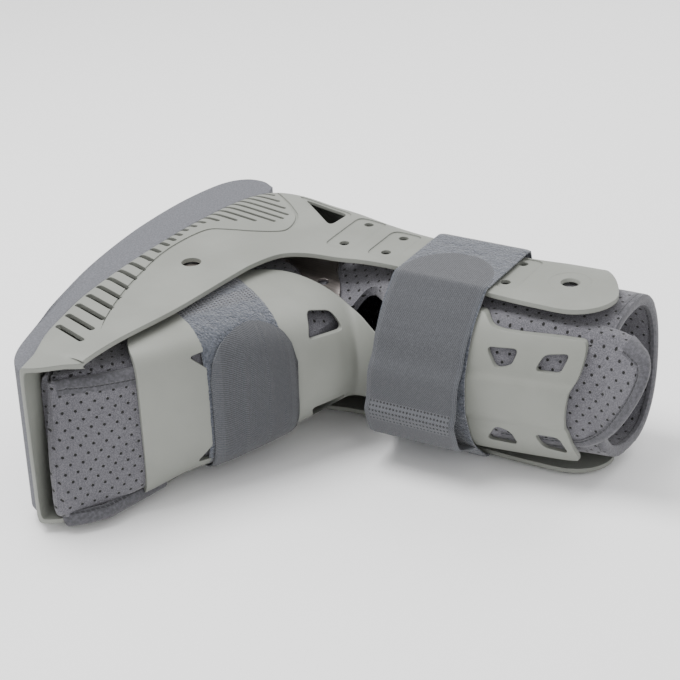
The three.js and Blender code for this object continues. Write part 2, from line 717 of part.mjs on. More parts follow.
// The toe flap's back edge in the plan, closed off in front of the toe
const TOE_FLAP_SIDE = [
  { up: 0.215, along: 2.0 },
  { up: 0.225, along: 1.9 },
  { up: 0.245, along: 1.86 },
  { up: 0.3, along: 1.78 },
  { up: 0.4, along: 1.67 },
  { up: 0.6, along: 1.45 },
  { up: 0.69, along: 1.36 },
  { up: 0.95, along: 1.5 },
  { up: 0.5, along: 2.0 },
];

function makeToeFlap() {
  const outside = bodySolid({ grow: GAP + FLAP_WALL }, -(FLAP_WALL + GAP) / END_ROW, ROWS.flapEnd);
  const inside = bodySolid({ grow: GAP }, -GAP / END_ROW, ROWS.flapEnd + 1);
  const outline = new THREE.Shape(profilePoints(TOE_FLAP_SIDE));
  return outside.subtract(inside).intersect(prism(outline, -FULL_WIDTH, FLAP_TOP));
}

// A box along the instep: from and to are places along it, low and high run across the boot
function instepOutline(middle, width, low, high, round) {
  const from = middle - width / 2;
  const to = middle + width / 2;
  const corners = [[from, low], [to, low], [to, high], [from, high]];
  return roundedOutline(corners.map(([x, y]) => new THREE.Vector2(x, y)), round, 5);
}

const RIVET_PLACE = plan(RIVET_HOLE.up, RIVET_HOLE.along);
const STRAP_MIDDLE = RIVET_PLACE.clone().sub(INSTEP_LOW).dot(INSTEP_ALONG) - FOOT_STRAP_SHIFT;
const STRAP_END = RIVET_PLACE.clone().sub(INSTEP_LOW).dot(INSTEP_OUT) - RIVET_RADIUS * 2;
const TAB_END = 0.62; // how deep the tab reaches under the lower side wall, as a share of the strap's end

function makeFootStrap() {
  const outline = instepOutline(STRAP_MIDDLE, FOOT_STRAP_WIDTH, -FULL_WIDTH, FULL_WIDTH, 1);
  const skin = layerSkin({ grow: STACK.strap }, STRAP_WALL, ROWS.strap.from, ROWS.strap.to);
  return skin.intersect(prism(outline, STRAP_END, LEG_DEPTH, instepTurn()));
}

function makeFootStrapTab() {
  const middle = STRAP_MIDDLE + FOOT_TAB_SHIFT;
  const tip = FOOT_TAB_WIDTH / 2;
  const outline = instepOutline(middle, FOOT_TAB_WIDTH, -FOOT_TAB_LOW, FOOT_TAB_SIDE, tip);
  const square = instepOutline(middle, FOOT_TAB_WIDTH, -FULL_WIDTH, 0, 1);
  const skin = layerSkin({ grow: STACK.tab }, TAB_WALL, ROWS.strap.from, ROWS.strap.to);
  const depth = STRAP_END * TAB_END;
  const rounded = prism(outline, depth, LEG_DEPTH, instepTurn());
  return skin.intersect(rounded.add(prism(square, depth, LEG_DEPTH, instepTurn())));
}

// Corner points of everything that the leg strap goes round, over its whole width
function strapCore() {
  const heights = [LEG_STRAP_LOW, LEG_STRAP_UP, LEG_STRAP_HIGH];
  return taut(heights.flatMap((x) => coreAt(x)));
}

function coreAt(x) {
  const corners = [];
  for (const side of [1, -1]) {
    corners.push(new THREE.Vector2(plan(0, 0.31).y, side * HALF_WIDTH));
    corners.push(new THREE.Vector2(plan(0, 0.8).y, side * HALF_WIDTH));
  }
  const middle = plan(0, 0.6).y;
  const guardLayer = { grow: SHIN_STACK + GUARD_WALL, ridge: RIDGE_HEIGHT };
  const shin = ringPoints(placeAtHeight(x, 'frontUp'), guardLayer);
  const calf = ringPoints(placeAtHeight(x, 'backUp'), {});
  const widest = HALF_WIDTH * Math.max(...SHIN_GUARD_FRONT.map((row) => row.side));
  const guard = shin.filter((point) => point.y < middle && Math.abs(point.z) <= widest);
  const seen = [...guard, ...calf.filter((point) => point.y >= middle)];
  return [...corners, ...seen.map((point) => new THREE.Vector2(point.y, point.z))];
}

// The place in the section table where the front or the back of the section is at one height
function placeAtHeight(x, end) {
  const heights = SECTIONS.map((row) => plan(row[end], 0).x);
  const next = heights.findIndex((height) => height >= x);
  return next - (heights[next] - x) / (heights[next] - heights[next - 1]);
}

// The smallest convex outline round some points
function taut(points) {
  const sorted = [...points].sort((a, b) => a.x - b.x || a.y - b.y);
  const turn = (o, a, b) => (a.x - o.x) * (b.y - o.y) - (a.y - o.y) * (b.x - o.x);
  const half = (list) => {
    const chain = [];
    for (const point of list) {
      while (chain.length > 1 && turn(chain[chain.length - 2], chain[chain.length - 1], point) <= 1e-9) {
        chain.pop();
      }
      chain.push(point);
    }
    return chain.slice(0, -1);
  };
  return [...half(sorted), ...half([...sorted].reverse())];
}

// Points at one distance outside a taut outline. Each of its edges stays straight and parallel.
function tautOffset(corners, distance) {
  const outward = corners.map((corner, index) => {
    const edge = corners[(index + 1) % corners.length].clone().sub(corner);
    return new THREE.Vector2(edge.y, -edge.x).normalize();
  });
  return corners.flatMap((corner, index) => {
    const before = outward[(index + corners.length - 1) % corners.length];
    const after = outward[index];
    const between = before.clone().add(after).normalize();
    const facings = before.dot(after) < STRAP_CORNER ? [before, between, after] : [between];
    return facings.map((facing) => corner.clone().addScaledVector(facing, distance));
  });
}

const STRAP_CORNER = 0.9; // sharper corners than this cosine get rounded by the strap

// A loop that follows the outline at two heights on the leg, from one distance to another off it
function strapLoop(low, high, inner, outer) {
  const rings = (distance, extra) => [low - extra, high + extra].map((x) => {
    const edge = tautOffset(strapCore(), distance);
    return edge.map((point) => new THREE.Vector3(x, point.x, point.y));
  });
  return toSolid(loftGeometry(rings(outer, 0))).subtract(toSolid(loftGeometry(rings(inner, 1))));
}

const LEG_STRAP_LOW = LEG_STRAP_UP - LEG_STRAP_WIDTH / 2;
const LEG_STRAP_HIGH = LEG_STRAP_UP + LEG_STRAP_WIDTH / 2;
const STRAP_REST = GAP * 2; // distance of the strap off what it goes round

function makeLegStrap() {
  return strapLoop(LEG_STRAP_LOW, LEG_STRAP_HIGH, STRAP_REST, STRAP_REST + STRAP_WALL);
}

// How far the leg tab stands off the strap on its way from the top strut to under the shin
const LEG_TAB_BULGE = [
  { at: 0, bulge: 0 },
  { at: 0.45, bulge: 0 },
  { at: 0.6, bulge: 0.2 },
  { at: 0.75, bulge: 0.55 },
  { at: 0.9, bulge: 0.95 },
  { at: 1, bulge: 1 },
];
const LEG_TAB_STEPS = 22;
const LEG_TAB_TIP = 0.5; // along share of the tab's tip on the top strut
const LEG_TAB_START = 91; // the tab's facing where it leaves the top strut, straight up is 90 degrees
const LEG_TAB_TURN = 118; // degrees that it turns through from there
const LEG_TAB_TUCK = 0.4; // how far its end lies from the shin guard's shoulder to the lower strut

function makeLegStrapTab() {
  const core = strapCore();
  const base = STRAP_REST + STRAP_WALL + GAP;
  const line = [];
  for (let step = 0; step <= LEG_TAB_STEPS; step += 1) {
    const t = step / LEG_TAB_STEPS;
    const angle = THREE.MathUtils.degToRad(LEG_TAB_START + LEG_TAB_TURN * t);
    const facing = new THREE.Vector2(Math.cos(angle), Math.sin(angle));
    const point = core.reduce((a, b) => (b.dot(facing) > a.dot(facing) ? b : a)).clone();
    point.x -= TAB_BULGE * tableValue(LEG_TAB_BULGE, t, 'bulge');
    line.push({ point, facing, off: base });
  }
  const last = line[line.length - 1];
  const corner = new THREE.Vector2(plan(0, 0.8).y, -HALF_WIDTH);
  const shoulder = last.point.clone();
  shoulder.x += TAB_BULGE;
  const tuck = shoulder.lerp(corner, LEG_TAB_TUCK);
  line.push({ point: tuck, facing: last.facing, off: base });
  const tip = plan(0, LEG_TAB_TIP).y;
  line.unshift({ point: new THREE.Vector2(tip, line[0].point.y), facing: line[0].facing, off: base });
  const inner = line.map((row) => row.point.clone().addScaledVector(row.facing, row.off));
  const outer = line.map((row) => row.point.clone().addScaledVector(row.facing, row.off + TAB_WALL));
  const outline = new THREE.Shape([...inner, ...outer.reverse()]);
  const upTheLeg = new THREE.Matrix4().makeBasis(
    new THREE.Vector3(0, 1, 0),
    new THREE.Vector3(0, 0, 1),
    new THREE.Vector3(1, 0, 0),
  );
  const band = prism(outline, LEG_STRAP_LOW + TAB_INSET, LEG_STRAP_HIGH - TAB_INSET, upTheLeg);
  const corners = [
    new THREE.Vector2(LEG_STRAP_LOW, tip),
    new THREE.Vector2(LEG_STRAP_HIGH, tip),
    new THREE.Vector2(LEG_STRAP_HIGH, -LEG_DEPTH * 2),
    new THREE.Vector2(LEG_STRAP_LOW, -LEG_DEPTH * 2),
  ];
  return band.intersect(prism(roundedOutline(corners, LEG_STRAP_WIDTH / 2, 8), -FULL_WIDTH, FULL_WIDTH));
}

// The ankle bracket in the plan: a waisted strip from under the side wall to beside the instep guard
const BRACKET_PROFILE = [
  { up: 0.42, along: 0.6 },
  { up: 0.6, along: 0.72 },
  { up: 0.72, along: 0.83 },
  { up: 0.86, along: 0.86 },
  { up: 0.84, along: 0.76 },
  { up: 0.78, along: 0.66 },
  { up: 0.72, along: 0.54 },
  { up: 0.56, along: 0.44 },
];
const BRACKET_HOLE = { up: 0.76, along: 0.765 };

function makeBracket(side) {
  const skin = layerSkin({ grow: GAP }, BRACKET_WALL, ROWS.bracket, ROWS.guardTop);
  const outline = smoothOutline(profilePoints(BRACKET_PROFILE), 3);
  const hole = circleOutline(plan(BRACKET_HOLE.up, BRACKET_HOLE.along), BRACKET_HOLE_RADIUS, 10);
  const from = side > 0 ? 0 : -FULL_WIDTH;
  const to = side > 0 ? FULL_WIDTH : 0;
  return skin.intersect(prism(outline, from, to)).subtract(prism(hole, from, to));
}

// A low domed head between the strap and the side wall
function makeRivet(side) {
  const low = LINER_FOOT_HALF + STACK.strap + STRAP_WALL + GAP;
  const high = HALF_WIDTH - SHELL_WALL - GAP;
  const points = [
    new THREE.Vector2(0, low),
    new THREE.Vector2(RIVET_RADIUS, low),
    new THREE.Vector2(RIVET_RADIUS * 0.8, (low + high) / 2),
    new THREE.Vector2(RIVET_RADIUS * 0.45, high),
    new THREE.Vector2(0, high),
  ];
  const geometry = new THREE.LatheGeometry(points, 12);
  geometry.rotateX((side * Math.PI) / 2);
  geometry.translate(RIVET_PLACE.x, RIVET_PLACE.y, 0);
  return toSolid(geometry);
}

// Materials
const PLASTIC = { color: 0xa9aba5, roughness: 0.55, metalness: 0 };
const RUBBER = { color: 0x85868c, roughness: 0.85, metalness: 0 };
const PADDING = { color: 0x83828a, roughness: 0.95, metalness: 0 };
const LOOP = { color: 0x7a7f89, roughness: 1, metalness: 0 };
const HOOK = { color: 0x5f6166, roughness: 0.9, metalness: 0 };
const METAL = { color: 0xb6b1ae, roughness: 0.35, metalness: 1 };

const PIECES = [
  { name: 'shell', solid: makeShell(), finish: PLASTIC },
  { name: 'outsole', solid: makeOutsole(), finish: RUBBER },
  { name: 'insole', solid: makeInsole(), finish: PADDING },
  { name: 'liner_foot', solid: makeLinerPart(0, ROWS.heelSeam), finish: PADDING },
  { name: 'liner_heel', solid: makeLinerPart(pastSeam(ROWS.heelSeam), ROWS.legSeam), finish: PADDING },
  { name: 'liner_leg', solid: makeLinerPart(pastSeam(ROWS.legSeam), LAST), finish: PADDING },
  { name: 'toe_flap', solid: makeToeFlap(), finish: PADDING },
  { name: 'shin_flap', solid: makeShinFlap(), finish: PADDING },
  { name: 'instep_guard', solid: makeInstepGuard(), finish: PLASTIC },
  { name: 'shin_guard', solid: makeShinGuard(), finish: PLASTIC },
  { name: 'foot_strap', solid: makeFootStrap(), finish: LOOP },
  { name: 'foot_strap_tab', solid: makeFootStrapTab(), finish: HOOK },
  { name: 'leg_strap', solid: makeLegStrap(), finish: LOOP },
  { name: 'leg_strap_tab', solid: makeLegStrapTab(), finish: HOOK },
  { name: 'ankle_bracket_upper', solid: makeBracket(1), finish: METAL },
  { name: 'ankle_bracket_lower', solid: makeBracket(-1), finish: METAL },
  { name: 'foot_rivet_upper', solid: makeRivet(1), finish: METAL },
  { name: 'foot_rivet_lower', solid: makeRivet(-1), finish: METAL },
];

// The whole boot, moved so that its middle stands over the origin and its lowest point is at z = 0
const group = new THREE.Group();
for (const piece of PIECES) {
  const mesh = new THREE.Mesh(toGeometry(piece.solid), new THREE.MeshStandardMaterial(piece.finish));
  mesh.name = piece.name;
  group.add(mesh);
}
const bounds = new THREE.Box3().setFromObject(group);
const middle = bounds.getCenter(new THREE.Vector3());
for (const mesh of group.children) {
  mesh.geometry.translate(-middle.x, -middle.y, -bounds.min.z);
}

export default group;
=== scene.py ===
import math

import bmesh
import bpy
import numpy as np
from mathutils import Matrix, Vector, noise


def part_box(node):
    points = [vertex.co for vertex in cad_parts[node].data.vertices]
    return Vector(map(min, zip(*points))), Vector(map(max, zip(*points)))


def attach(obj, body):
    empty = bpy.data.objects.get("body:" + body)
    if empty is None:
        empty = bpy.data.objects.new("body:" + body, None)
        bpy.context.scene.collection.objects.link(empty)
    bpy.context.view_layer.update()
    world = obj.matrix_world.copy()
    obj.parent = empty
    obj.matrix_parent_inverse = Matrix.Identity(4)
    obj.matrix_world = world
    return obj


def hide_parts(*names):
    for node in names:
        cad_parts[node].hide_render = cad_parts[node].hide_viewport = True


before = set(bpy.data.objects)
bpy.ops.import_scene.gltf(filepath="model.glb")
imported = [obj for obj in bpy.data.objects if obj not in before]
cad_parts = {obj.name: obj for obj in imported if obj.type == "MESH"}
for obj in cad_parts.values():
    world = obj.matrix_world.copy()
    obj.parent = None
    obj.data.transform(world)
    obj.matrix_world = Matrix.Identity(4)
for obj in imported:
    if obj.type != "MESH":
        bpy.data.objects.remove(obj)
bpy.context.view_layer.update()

# Sizes and shares, most of them the part's own
ANKLE_HEIGHT = 152
STRUT_RISE = 160
LEG_DEPTH = 128
FOOT_REACH = 176
HALF_WIDTH = 58
SHELL_WALL = 3
TOE_ROUND = 5.5
OUTSOLE_DEPTH = 25
INSOLE_THICK = 6
LINER_WALL = 6
FLAP_WALL = 3.5
SHIN_FLAP_WALL = 5
GUARD_WALL = 3
STRAP_WALL = 2
TAB_WALL = 2
BRACKET_WALL = 1.5
GAP = 0.3
LEG_SLACK = 2
FOOT_STRAP_WIDTH = 58
FOOT_STRAP_SHIFT = 6
LEG_STRAP_WIDTH = 65
LEG_STRAP_UP = 204
SLOT_COUNT = 26
SLOT_LENGTH = 55
SLOT_WIDTH = 4.2
SLOT_INSET = 8
SLOT_TOE = 1.72
SLOT_HEEL = 0.14
SLOT_BUNCHING = 0.3
OUTSOLE_INSET = 4
LACE_RADIUS = 3.3
TOP_HOLE_RADIUS = 4
RIVET_HOLE_RADIUS = 6.5
WALL_REACH = 20
FOOT_SQUARE = 3.4
LEG_SQUARE = 4
HEEL_SQUARE = 4
SOLE_SQUARE = 12
TIP_SQUARE = 2.3
FOOT_TAB_WIDTH = 60
FOOT_TAB_SHIFT = 4
FOOT_TAB_SIDE = 46
STRAP_EASE = 0.6
STRAP_PAST_RIVET = 13
STRUT_BACK = 0.31
STRUT_FRONT = 0.8
TAB_START = 91
TAB_TURN = 118
TAB_BULGE = 16
STACK_GUARD = GAP + FLAP_WALL + GAP
STACK_STRAP = STACK_GUARD + GUARD_WALL + GAP
STACK_TAB = STACK_STRAP + STRAP_WALL + GAP
STACK_TOP = STACK_TAB + TAB_WALL + GAP
LINER_FOOT_HALF = HALF_WIDTH - SHELL_WALL - STACK_TOP
LINER_LEG_HALF = HALF_WIDTH - SHELL_WALL - GAP - LEG_SLACK
SHIN_STACK = GAP + SHIN_FLAP_WALL + GAP
WIDEST = 0.42
END_ROW = 20

# Only looks: depths and widths of what the finer meshes add
POCKET_DEPTH = 0.8
PANEL_WIDTH = 22
PANEL_MARGIN = 8.5
CREASE_WIDTH = 1.8
OUTSOLE_NARROWING = 0.1
SEAM_DEPTH = 1.5
SEAM_WIDTH = 2.2


def plan(up, along):
    """A place in the plan from two shares, as in the part's source."""
    x = up * ANKLE_HEIGHT if up < 1 else ANKLE_HEIGHT + (up - 1) * STRUT_RISE
    y = along * LEG_DEPTH if along < 1 else LEG_DEPTH + (along - 1) * FOOT_REACH
    return np.array([x, -y])


# The liner's sections, mostly as shares of the named sizes: back end and front end, each up and along,
# half width, share of the leg, share of the sole's bed, squareness of back and front, the shell's width
# and the lower side's sag in wall thicknesses
SECTIONS = np.array([
    [0.217, 1.892, 0.263, 1.883, 0.93, 0, 1, 5, 6, 0.93, 2],
    [0.164, 1.784, 0.362, 1.812, 0.97, 0, 1, 5, 6, 0.97, 2.3],
    [0.125, 1.642, 0.474, 1.705, 0.99, 0, 1, 5, 6, 0.99, 1],
    [0.092, 1.489, 0.566, 1.568, 1, 0, 1, 5, 5, 1, 0],
    [0.072, 1.284, 0.678, 1.403, 1, 0, 1, 5, 4.5, 1, 0],
    [0.066, 1.028, 0.789, 1.239, 1, 0, 1, 5, 3.6, 1, 0],
    [0.079, 0.688, 0.882, 1.102, 0.98, 0, 1, 5, 3, 1, 0],
    [0.118, 0.359, 0.941, 1.023, 0.96, 0, 1, 4.5, 2.6, 1, 0],
    [0.171, 0.172, 0.97, 0.977, 0.96, 0, 0.8, 4, 2.4, 1, 0],
    [0.26, 0.06, 0.985, 0.95, 0.96, 0.05, 0.3, 3.4, 2.3, 1, 0],
    [0.41, 0.03, 1, 0.935, 0.96, 0.15, 0, 2.8, 2.25, 1, 0],
    [0.61, 0.08, 1.03, 0.93, 0.97, 0.35, 0, 2.4, 2.2, 1, 0],
    [0.81, 0.15, 1.07, 0.93, 0.98, 0.6, 0, 2.3, 2.2, 1, 0],
    [1.01, 0.2, 1.14, 0.945, 0.99, 0.85, 0, 2.3, 2.3, 1, 0],
    [1.23, 0.22, 1.24, 0.955, 1, 1, 0, 2.3, 2.4, 1, 0],
    [1.54, 0.21, 1.54, 0.955, 1, 1, 0, 2.3, 2.45, 1, 0],
    [1.82, 0.2, 1.81, 0.91, 1, 1, 0, 2.3, 2.45, 1, 0],
    [2.05, 0.19, 2.03, 0.87, 0.98, 1, 0, 2.3, 2.45, 1, 0],
])
LAST = len(SECTIONS) - 1


def spline(a, b, c, d, t):
    """A smooth way from b to c, steered by the points before and after them."""
    return b + 0.5 * t * (c - a + t * (2 * a - 5 * b + 4 * c - d + t * (3 * (b - c) + d - a)))


class Section:
    """One section of the boot, between the rows of the table or carried on past its ends."""

    def __init__(self, place):
        self.place = place
        inside = min(max(place, 0), LAST)
        low = min(int(math.floor(inside)), LAST - 1)
        t = inside - low
        picks = [max(low - 1, 0), low, low + 1, min(low + 2, LAST)]
        row = spline(*(SECTIONS[index] for index in picks), t)
        self.back = plan(row[0], row[1])
        self.front = plan(row[2], row[3])
        self.length = float(np.linalg.norm(self.front - self.back))
        self.towards = (self.front - self.back) / self.length
        onward = np.array([-self.towards[1], self.towards[0]]) * (place - inside) * END_ROW
        self.back = self.back + onward
        self.front = self.front + onward
        self.half, self.leg, self.bed, self.back_square, self.front_square, self.shell, self.sag = row[4:]

    def axes(self, layer):
        grow = layer.get("grow", 0)
        liner = self.half * (LINER_FOOT_HALF + (LINER_LEG_HALF - LINER_FOOT_HALF) * self.leg)
        back = self.length * WIDEST + grow
        front = self.length * (1 - WIDEST) + grow
        half = liner + grow
        low = half + self.sag * SHELL_WALL
        back_square, front_square = self.back_square, self.front_square
        if "wall" in layer:
            back += GAP + (INSOLE_THICK + GAP) * self.bed + layer["wall"]
            front += STACK_TOP + WALL_REACH + layer["wall"]
            half = HALF_WIDTH * self.shell - SHELL_WALL + layer["wall"]
            low = half
            front_square = FOOT_SQUARE + (LEG_SQUARE - FOOT_SQUARE) * self.leg
            back_square = HEEL_SQUARE + (SOLE_SQUARE - HEEL_SQUARE) * self.bed
        return back, front, half, low, back_square, front_square

    def ring(self, layer, angles):
        back, front, half, low, back_square, front_square = self.axes(layer)
        cos, sin = np.cos(angles), np.sin(angles)
        square = np.where(cos > 0, front_square, back_square)
        reach = np.sign(cos) * np.abs(cos) ** (2 / square)
        side = np.sign(sin) * np.abs(sin) ** (2 / square) * np.where(sin > 0, half, low)
        out = reach * np.where(cos > 0, front, back)
        if "ridge" in layer:
            out = out + np.where(cos > 0, ridge_at(side) * layer["ridge"], 0)
        middle = self.back + self.towards * self.length * WIDEST
        points = np.stack([middle[0] + self.towards[0] * out, middle[1] + self.towards[1] * out, side], 1)
        if layer.get("slumps"):
            points = points + toe_slump(self.place, side)[:, None] * SLUMP
        return points

    def dorsal(self, layer, side):
        """The point of the front half at one distance from the middle plane."""
        _, front, half, low, _, square = self.axes(layer)
        share = min(abs(side) / (half if side > 0 else low), 0.999)
        out = front * (1 - share ** square) ** (1 / square)
        if "ridge" in layer:
            out += float(ridge_at(np.array(side))) * layer["ridge"]
        middle = self.back + self.towards * self.length * WIDEST
        point = np.array([*(middle + self.towards * out), side])
        if layer.get("slumps"):
            point = point + toe_slump(self.place, np.array(side)) * SLUMP
        return point


# How far the padded toe slumps over the lower side wall, at its lower corner, and where that fades out
SLUMP = np.array([7.0, -13.0, 0.0])
SLUMP_ROWS = 2.6
SLUMP_SIDE = 34
SLUMP_WIDTH = 80


def toe_slump(place, side):
    along = np.clip((SLUMP_ROWS - place) / SLUMP_ROWS, 0, 1)
    low = np.clip((SLUMP_SIDE - side) / SLUMP_WIDTH, 0, 1)
    return along ** 1.5 * low * low * (3 - 2 * low)


def ridge_at(side):
    """1 on the flat ridge along the middle of the shin guard."""
    t = np.clip((np.abs(side) - 13) / 4, 0, 1)
    return 1 - t * t * (3 - 2 * t)


# Where the boot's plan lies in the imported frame, read from the rivets
rivet_low, rivet_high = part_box("foot_rivet_upper")
other_low, other_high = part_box("foot_rivet_lower")
RIVET = plan(0.29, 1.09)
middle_of_rivet = (rivet_low + rivet_high) * 500
MIDDLE_Z = (rivet_low.z + rivet_high.z + other_low.z + other_high.z) * 250
SHIFT = np.array([middle_of_rivet.x - RIVET[0], middle_of_rivet.y - RIVET[1], MIDDLE_Z])


def place_points(points):
    return (np.asarray(points, float) + SHIFT) * 0.001


def add(name, data):
    made = bpy.data.objects.new(name, data)
    bpy.context.scene.collection.objects.link(made)
    return made


def make(name, points, faces, uvs=None):
    """A mesh object from plan points, with its faces turned outwards."""
    mesh = bpy.data.meshes.new(name)
    mesh.from_pydata([tuple(p) for p in place_points(points)], [], faces)
    if uvs is not None:
        layer = mesh.uv_layers.new(name="flat")
        corners = np.zeros(len(mesh.loops), np.int32)
        mesh.loops.foreach_get("vertex_index", corners)
        layer.data.foreach_set("uv", np.asarray(uvs, float)[corners].ravel())
    body = bmesh.new()
    body.from_mesh(mesh)
    bmesh.ops.recalc_face_normals(body, faces=body.faces)
    body.to_mesh(mesh)
    body.free()
    return add(name, mesh)


def walls(rows, count, closed=False):
    """The faces between rings of equally many points. Closed rows join the last ring to the first."""
    faces = []
    for row in range(rows if closed else rows - 1):
        start, after = row * count, (row + 1) % rows * count
        for step in range(count):
            beside = (step + 1) % count
            faces.append((start + step, start + beside, after + beside, after + step))
    return faces


def loft(name, rings):
    """A closed solid through rings of equally many points."""
    rings = np.asarray(rings)
    rows, count = rings.shape[:2]
    points = list(rings.reshape(-1, 3))
    faces = walls(rows, count)
    for row in (0, rows - 1):
        points.append(rings[row].mean(0))
        for step in range(count):
            faces.append((len(points) - 1, row * count + step, row * count + (step + 1) % count))
    return make(name, points, faces)


def end_inset(place, start, rounding):
    """How far a rounded end draws in at one place of the loft."""
    near = min(max(rounding - (place - start) * END_ROW, 0), rounding)
    return rounding - math.sqrt(rounding ** 2 - near ** 2)


def body_solid(layer, start, end, count=112, step=0.25, rounding=0):
    places = np.linspace(start, end, max(int(round((end - start) / step)), 1) + 1)
    if rounding:
        quarter = np.linspace(0, math.pi / 2, 9)
        round_end = start + rounding / END_ROW
        places = [*(start + (1 - np.cos(quarter)) * rounding / END_ROW), *places[places > round_end + 0.02]]
    angles = turns(count)
    rings = []
    for place in places:
        grow = layer.get("grow", 0) - end_inset(place, start, rounding)
        rings.append(Section(place).ring(dict(layer, grow=grow), angles))
    return loft("body", rings)


def prism(outline, low, high, basis=None):
    """A straight solid of one outline, across the boot or along a direction given by basis."""
    outline = np.asarray(outline, float)
    count = len(outline)
    flat = [np.column_stack([outline, np.full(count, level)]) for level in (low, high)]
    points = np.vstack(flat)
    if basis is not None:
        origin, along, across, out = basis
        points = origin + points[:, :1] * along + points[:, 1:2] * across + points[:, 2:] * out
    return make("prism", points, [tuple(range(count)), tuple(range(count, 2 * count)), *walls(2, count)])


def join(objects):
    """Solids that don't touch, as one cutter."""
    body = bmesh.new()
    for part in objects:
        body.from_mesh(part.data)
        bpy.data.objects.remove(part)
    mesh = bpy.data.meshes.new("joined")
    body.to_mesh(mesh)
    body.free()
    return add("joined", mesh)


def combine(target, cutter, how="DIFFERENCE"):
    change = target.modifiers.new("cut", "BOOLEAN")
    change.object = cutter
    change.operation = how
    change.solver = "MANIFOLD"
    seen = bpy.context.evaluated_depsgraph_get()
    mesh = bpy.data.meshes.new_from_object(target.evaluated_get(seen))
    target.modifiers.clear()
    target.data = mesh
    bpy.data.objects.remove(cutter)
    return target


def smooth(points, steps):
    """Points of a smooth line from the second point on, that stops short of the last but one."""
    made = []
    for index in range(1, len(points) - 2):
        for t in np.arange(steps) / steps:
            made.append(spline(*points[index - 1:index + 3], t))
    return made


def smooth_closed(points, steps):
    points = np.asarray(points, float)
    return np.array(smooth(np.vstack([points[-1:], points, points[:2]]), steps))


def smooth_open(points, steps):
    points = np.asarray(points, float)
    carried_on = np.vstack([2 * points[0] - points[1], points, 2 * points[-1] - points[-2]])
    return np.array([*smooth(carried_on, steps), points[-1]])


def rounded(points, radius, steps=6):
    points = np.asarray(points, float)
    made = []
    for index, corner in enumerate(points):
        before = points[index - 1]
        after = points[(index + 1) % len(points)]
        to_before, to_after = before - corner, after - corner
        size_before, size_after = np.linalg.norm(to_before), np.linalg.norm(to_after)
        near = min(radius, size_before / 2, size_after / 2)
        start = corner + to_before / size_before * near
        end = corner + to_after / size_after * near
        for t in np.linspace(0, 1, steps + 1):
            made.append((1 - t) ** 2 * start + 2 * t * (1 - t) * corner + t * t * end)
    kept = [made[0]]
    for point in made[1:]:
        if np.linalg.norm(point - kept[-1]) > 0.02:
            kept.append(point)
    return np.array(kept)


def turns(count):
    """Angles in equal steps of a whole turn."""
    return np.arange(count) / count * math.tau


def facing(angles):
    return np.stack([np.cos(angles), np.sin(angles)], -1)


def circle(centre, radius, count=36):
    return centre + radius * facing(turns(count))


def both_sides(outline, low, high):
    return [prism(outline, low, high), prism(outline, -high, -low)]


def displace(piece, offset):
    """Moves each vertex along its normal by offset(plan point) in millimetres."""
    mesh = piece.data
    count = len(mesh.vertices)
    points = np.zeros(count * 3)
    mesh.vertices.foreach_get("co", points)
    points = points.reshape(-1, 3)
    normals = np.array([tuple(v.normal) for v in mesh.vertices])
    flat = points * 1000 - SHIFT
    moves = np.array([offset(point) for point in flat])
    points += normals * moves[:, None] * 0.001
    mesh.vertices.foreach_set("co", points.ravel())
    mesh.update()


def read_line(line, run, spots):
    """Points of a line at some places of its run."""
    return np.stack([np.interp(spots, run, values) for values in line.T], 1)


def run_along(line):
    """The way along a line to each of its points."""
    return np.concatenate([[0], np.cumsum(np.linalg.norm(np.diff(line, axis=0), axis=1))])


def sheet_solid(name, grid, thick, closed=False):
    """A band with thickness over a grid of points, rows along the band and columns across it."""
    grid = np.asarray(grid, float)
    rows, columns = grid.shape[:2]
    if closed:
        along = np.roll(grid, -1, 0) - np.roll(grid, 1, 0)
    else:
        along = np.gradient(grid, axis=0)
    across = np.gradient(grid, axis=1)
    normal = np.cross(along, across)
    normal /= np.linalg.norm(normal, axis=2, keepdims=True) + 1e-9
    edge = np.ones(columns)
    edge[[0, -1]] = 0.45
    edge[[1, -2]] = 0.92
    middle = grid + normal * thick / 2
    top = middle + normal * (thick / 2 * edge)[None, :, None]
    low = middle - normal * (thick / 2 * edge)[None, :, None]
    points = np.vstack([top.reshape(-1, 3), low.reshape(-1, 3)])
    size = rows * columns
    faces = []
    last = rows if closed else rows - 1
    for row in range(last):
        after = (row + 1) % rows
        for column in range(columns - 1):
            a, b = row * columns + column, row * columns + column + 1
            c, d = after * columns + column + 1, after * columns + column
            faces += [(a, b, c, d), (a + size, d + size, c + size, b + size)]
        for column in (0, columns - 1):
            a, d = row * columns + column, after * columns + column
            faces.append((a, d, d + size, a + size))
    if not closed:
        for row in (0, rows - 1):
            for column in range(columns - 1):
                a, b = row * columns + column, row * columns + column + 1
                faces.append((a, b, b + size, a + size))
    run = run_along(grid[:, columns // 2])
    widths = np.linalg.norm(np.diff(grid, axis=1), axis=2)
    over = np.concatenate([np.zeros((rows, 1)), np.cumsum(widths, 1)], 1)
    over -= over[:, -1:] / 2
    uv = np.stack([np.repeat(run[:, None], columns, 1), over], 2).reshape(-1, 2)
    return make(name, points, faces, np.vstack([uv, uv]))


def tube(name, spots, point_at, profile, closed=False):
    """A profile of (inward, height) pairs, carried along the spots by point_at(spot, inward, height)."""
    rows = np.array([[point_at(spot, *pair) for pair in profile] for spot in spots])
    count, around = rows.shape[:2]
    faces = walls(count, around, closed)
    if not closed:
        faces += [tuple(range(around)), tuple(range((count - 1) * around, count * around))]
    run = np.repeat(run_along(rows[:, 0])[:, None], around, 1)
    inward = np.repeat([[pair[0] for pair in profile]], count, 0)
    return make(name, rows.reshape(-1, 3), faces, np.stack([run, inward], 2).reshape(-1, 2))


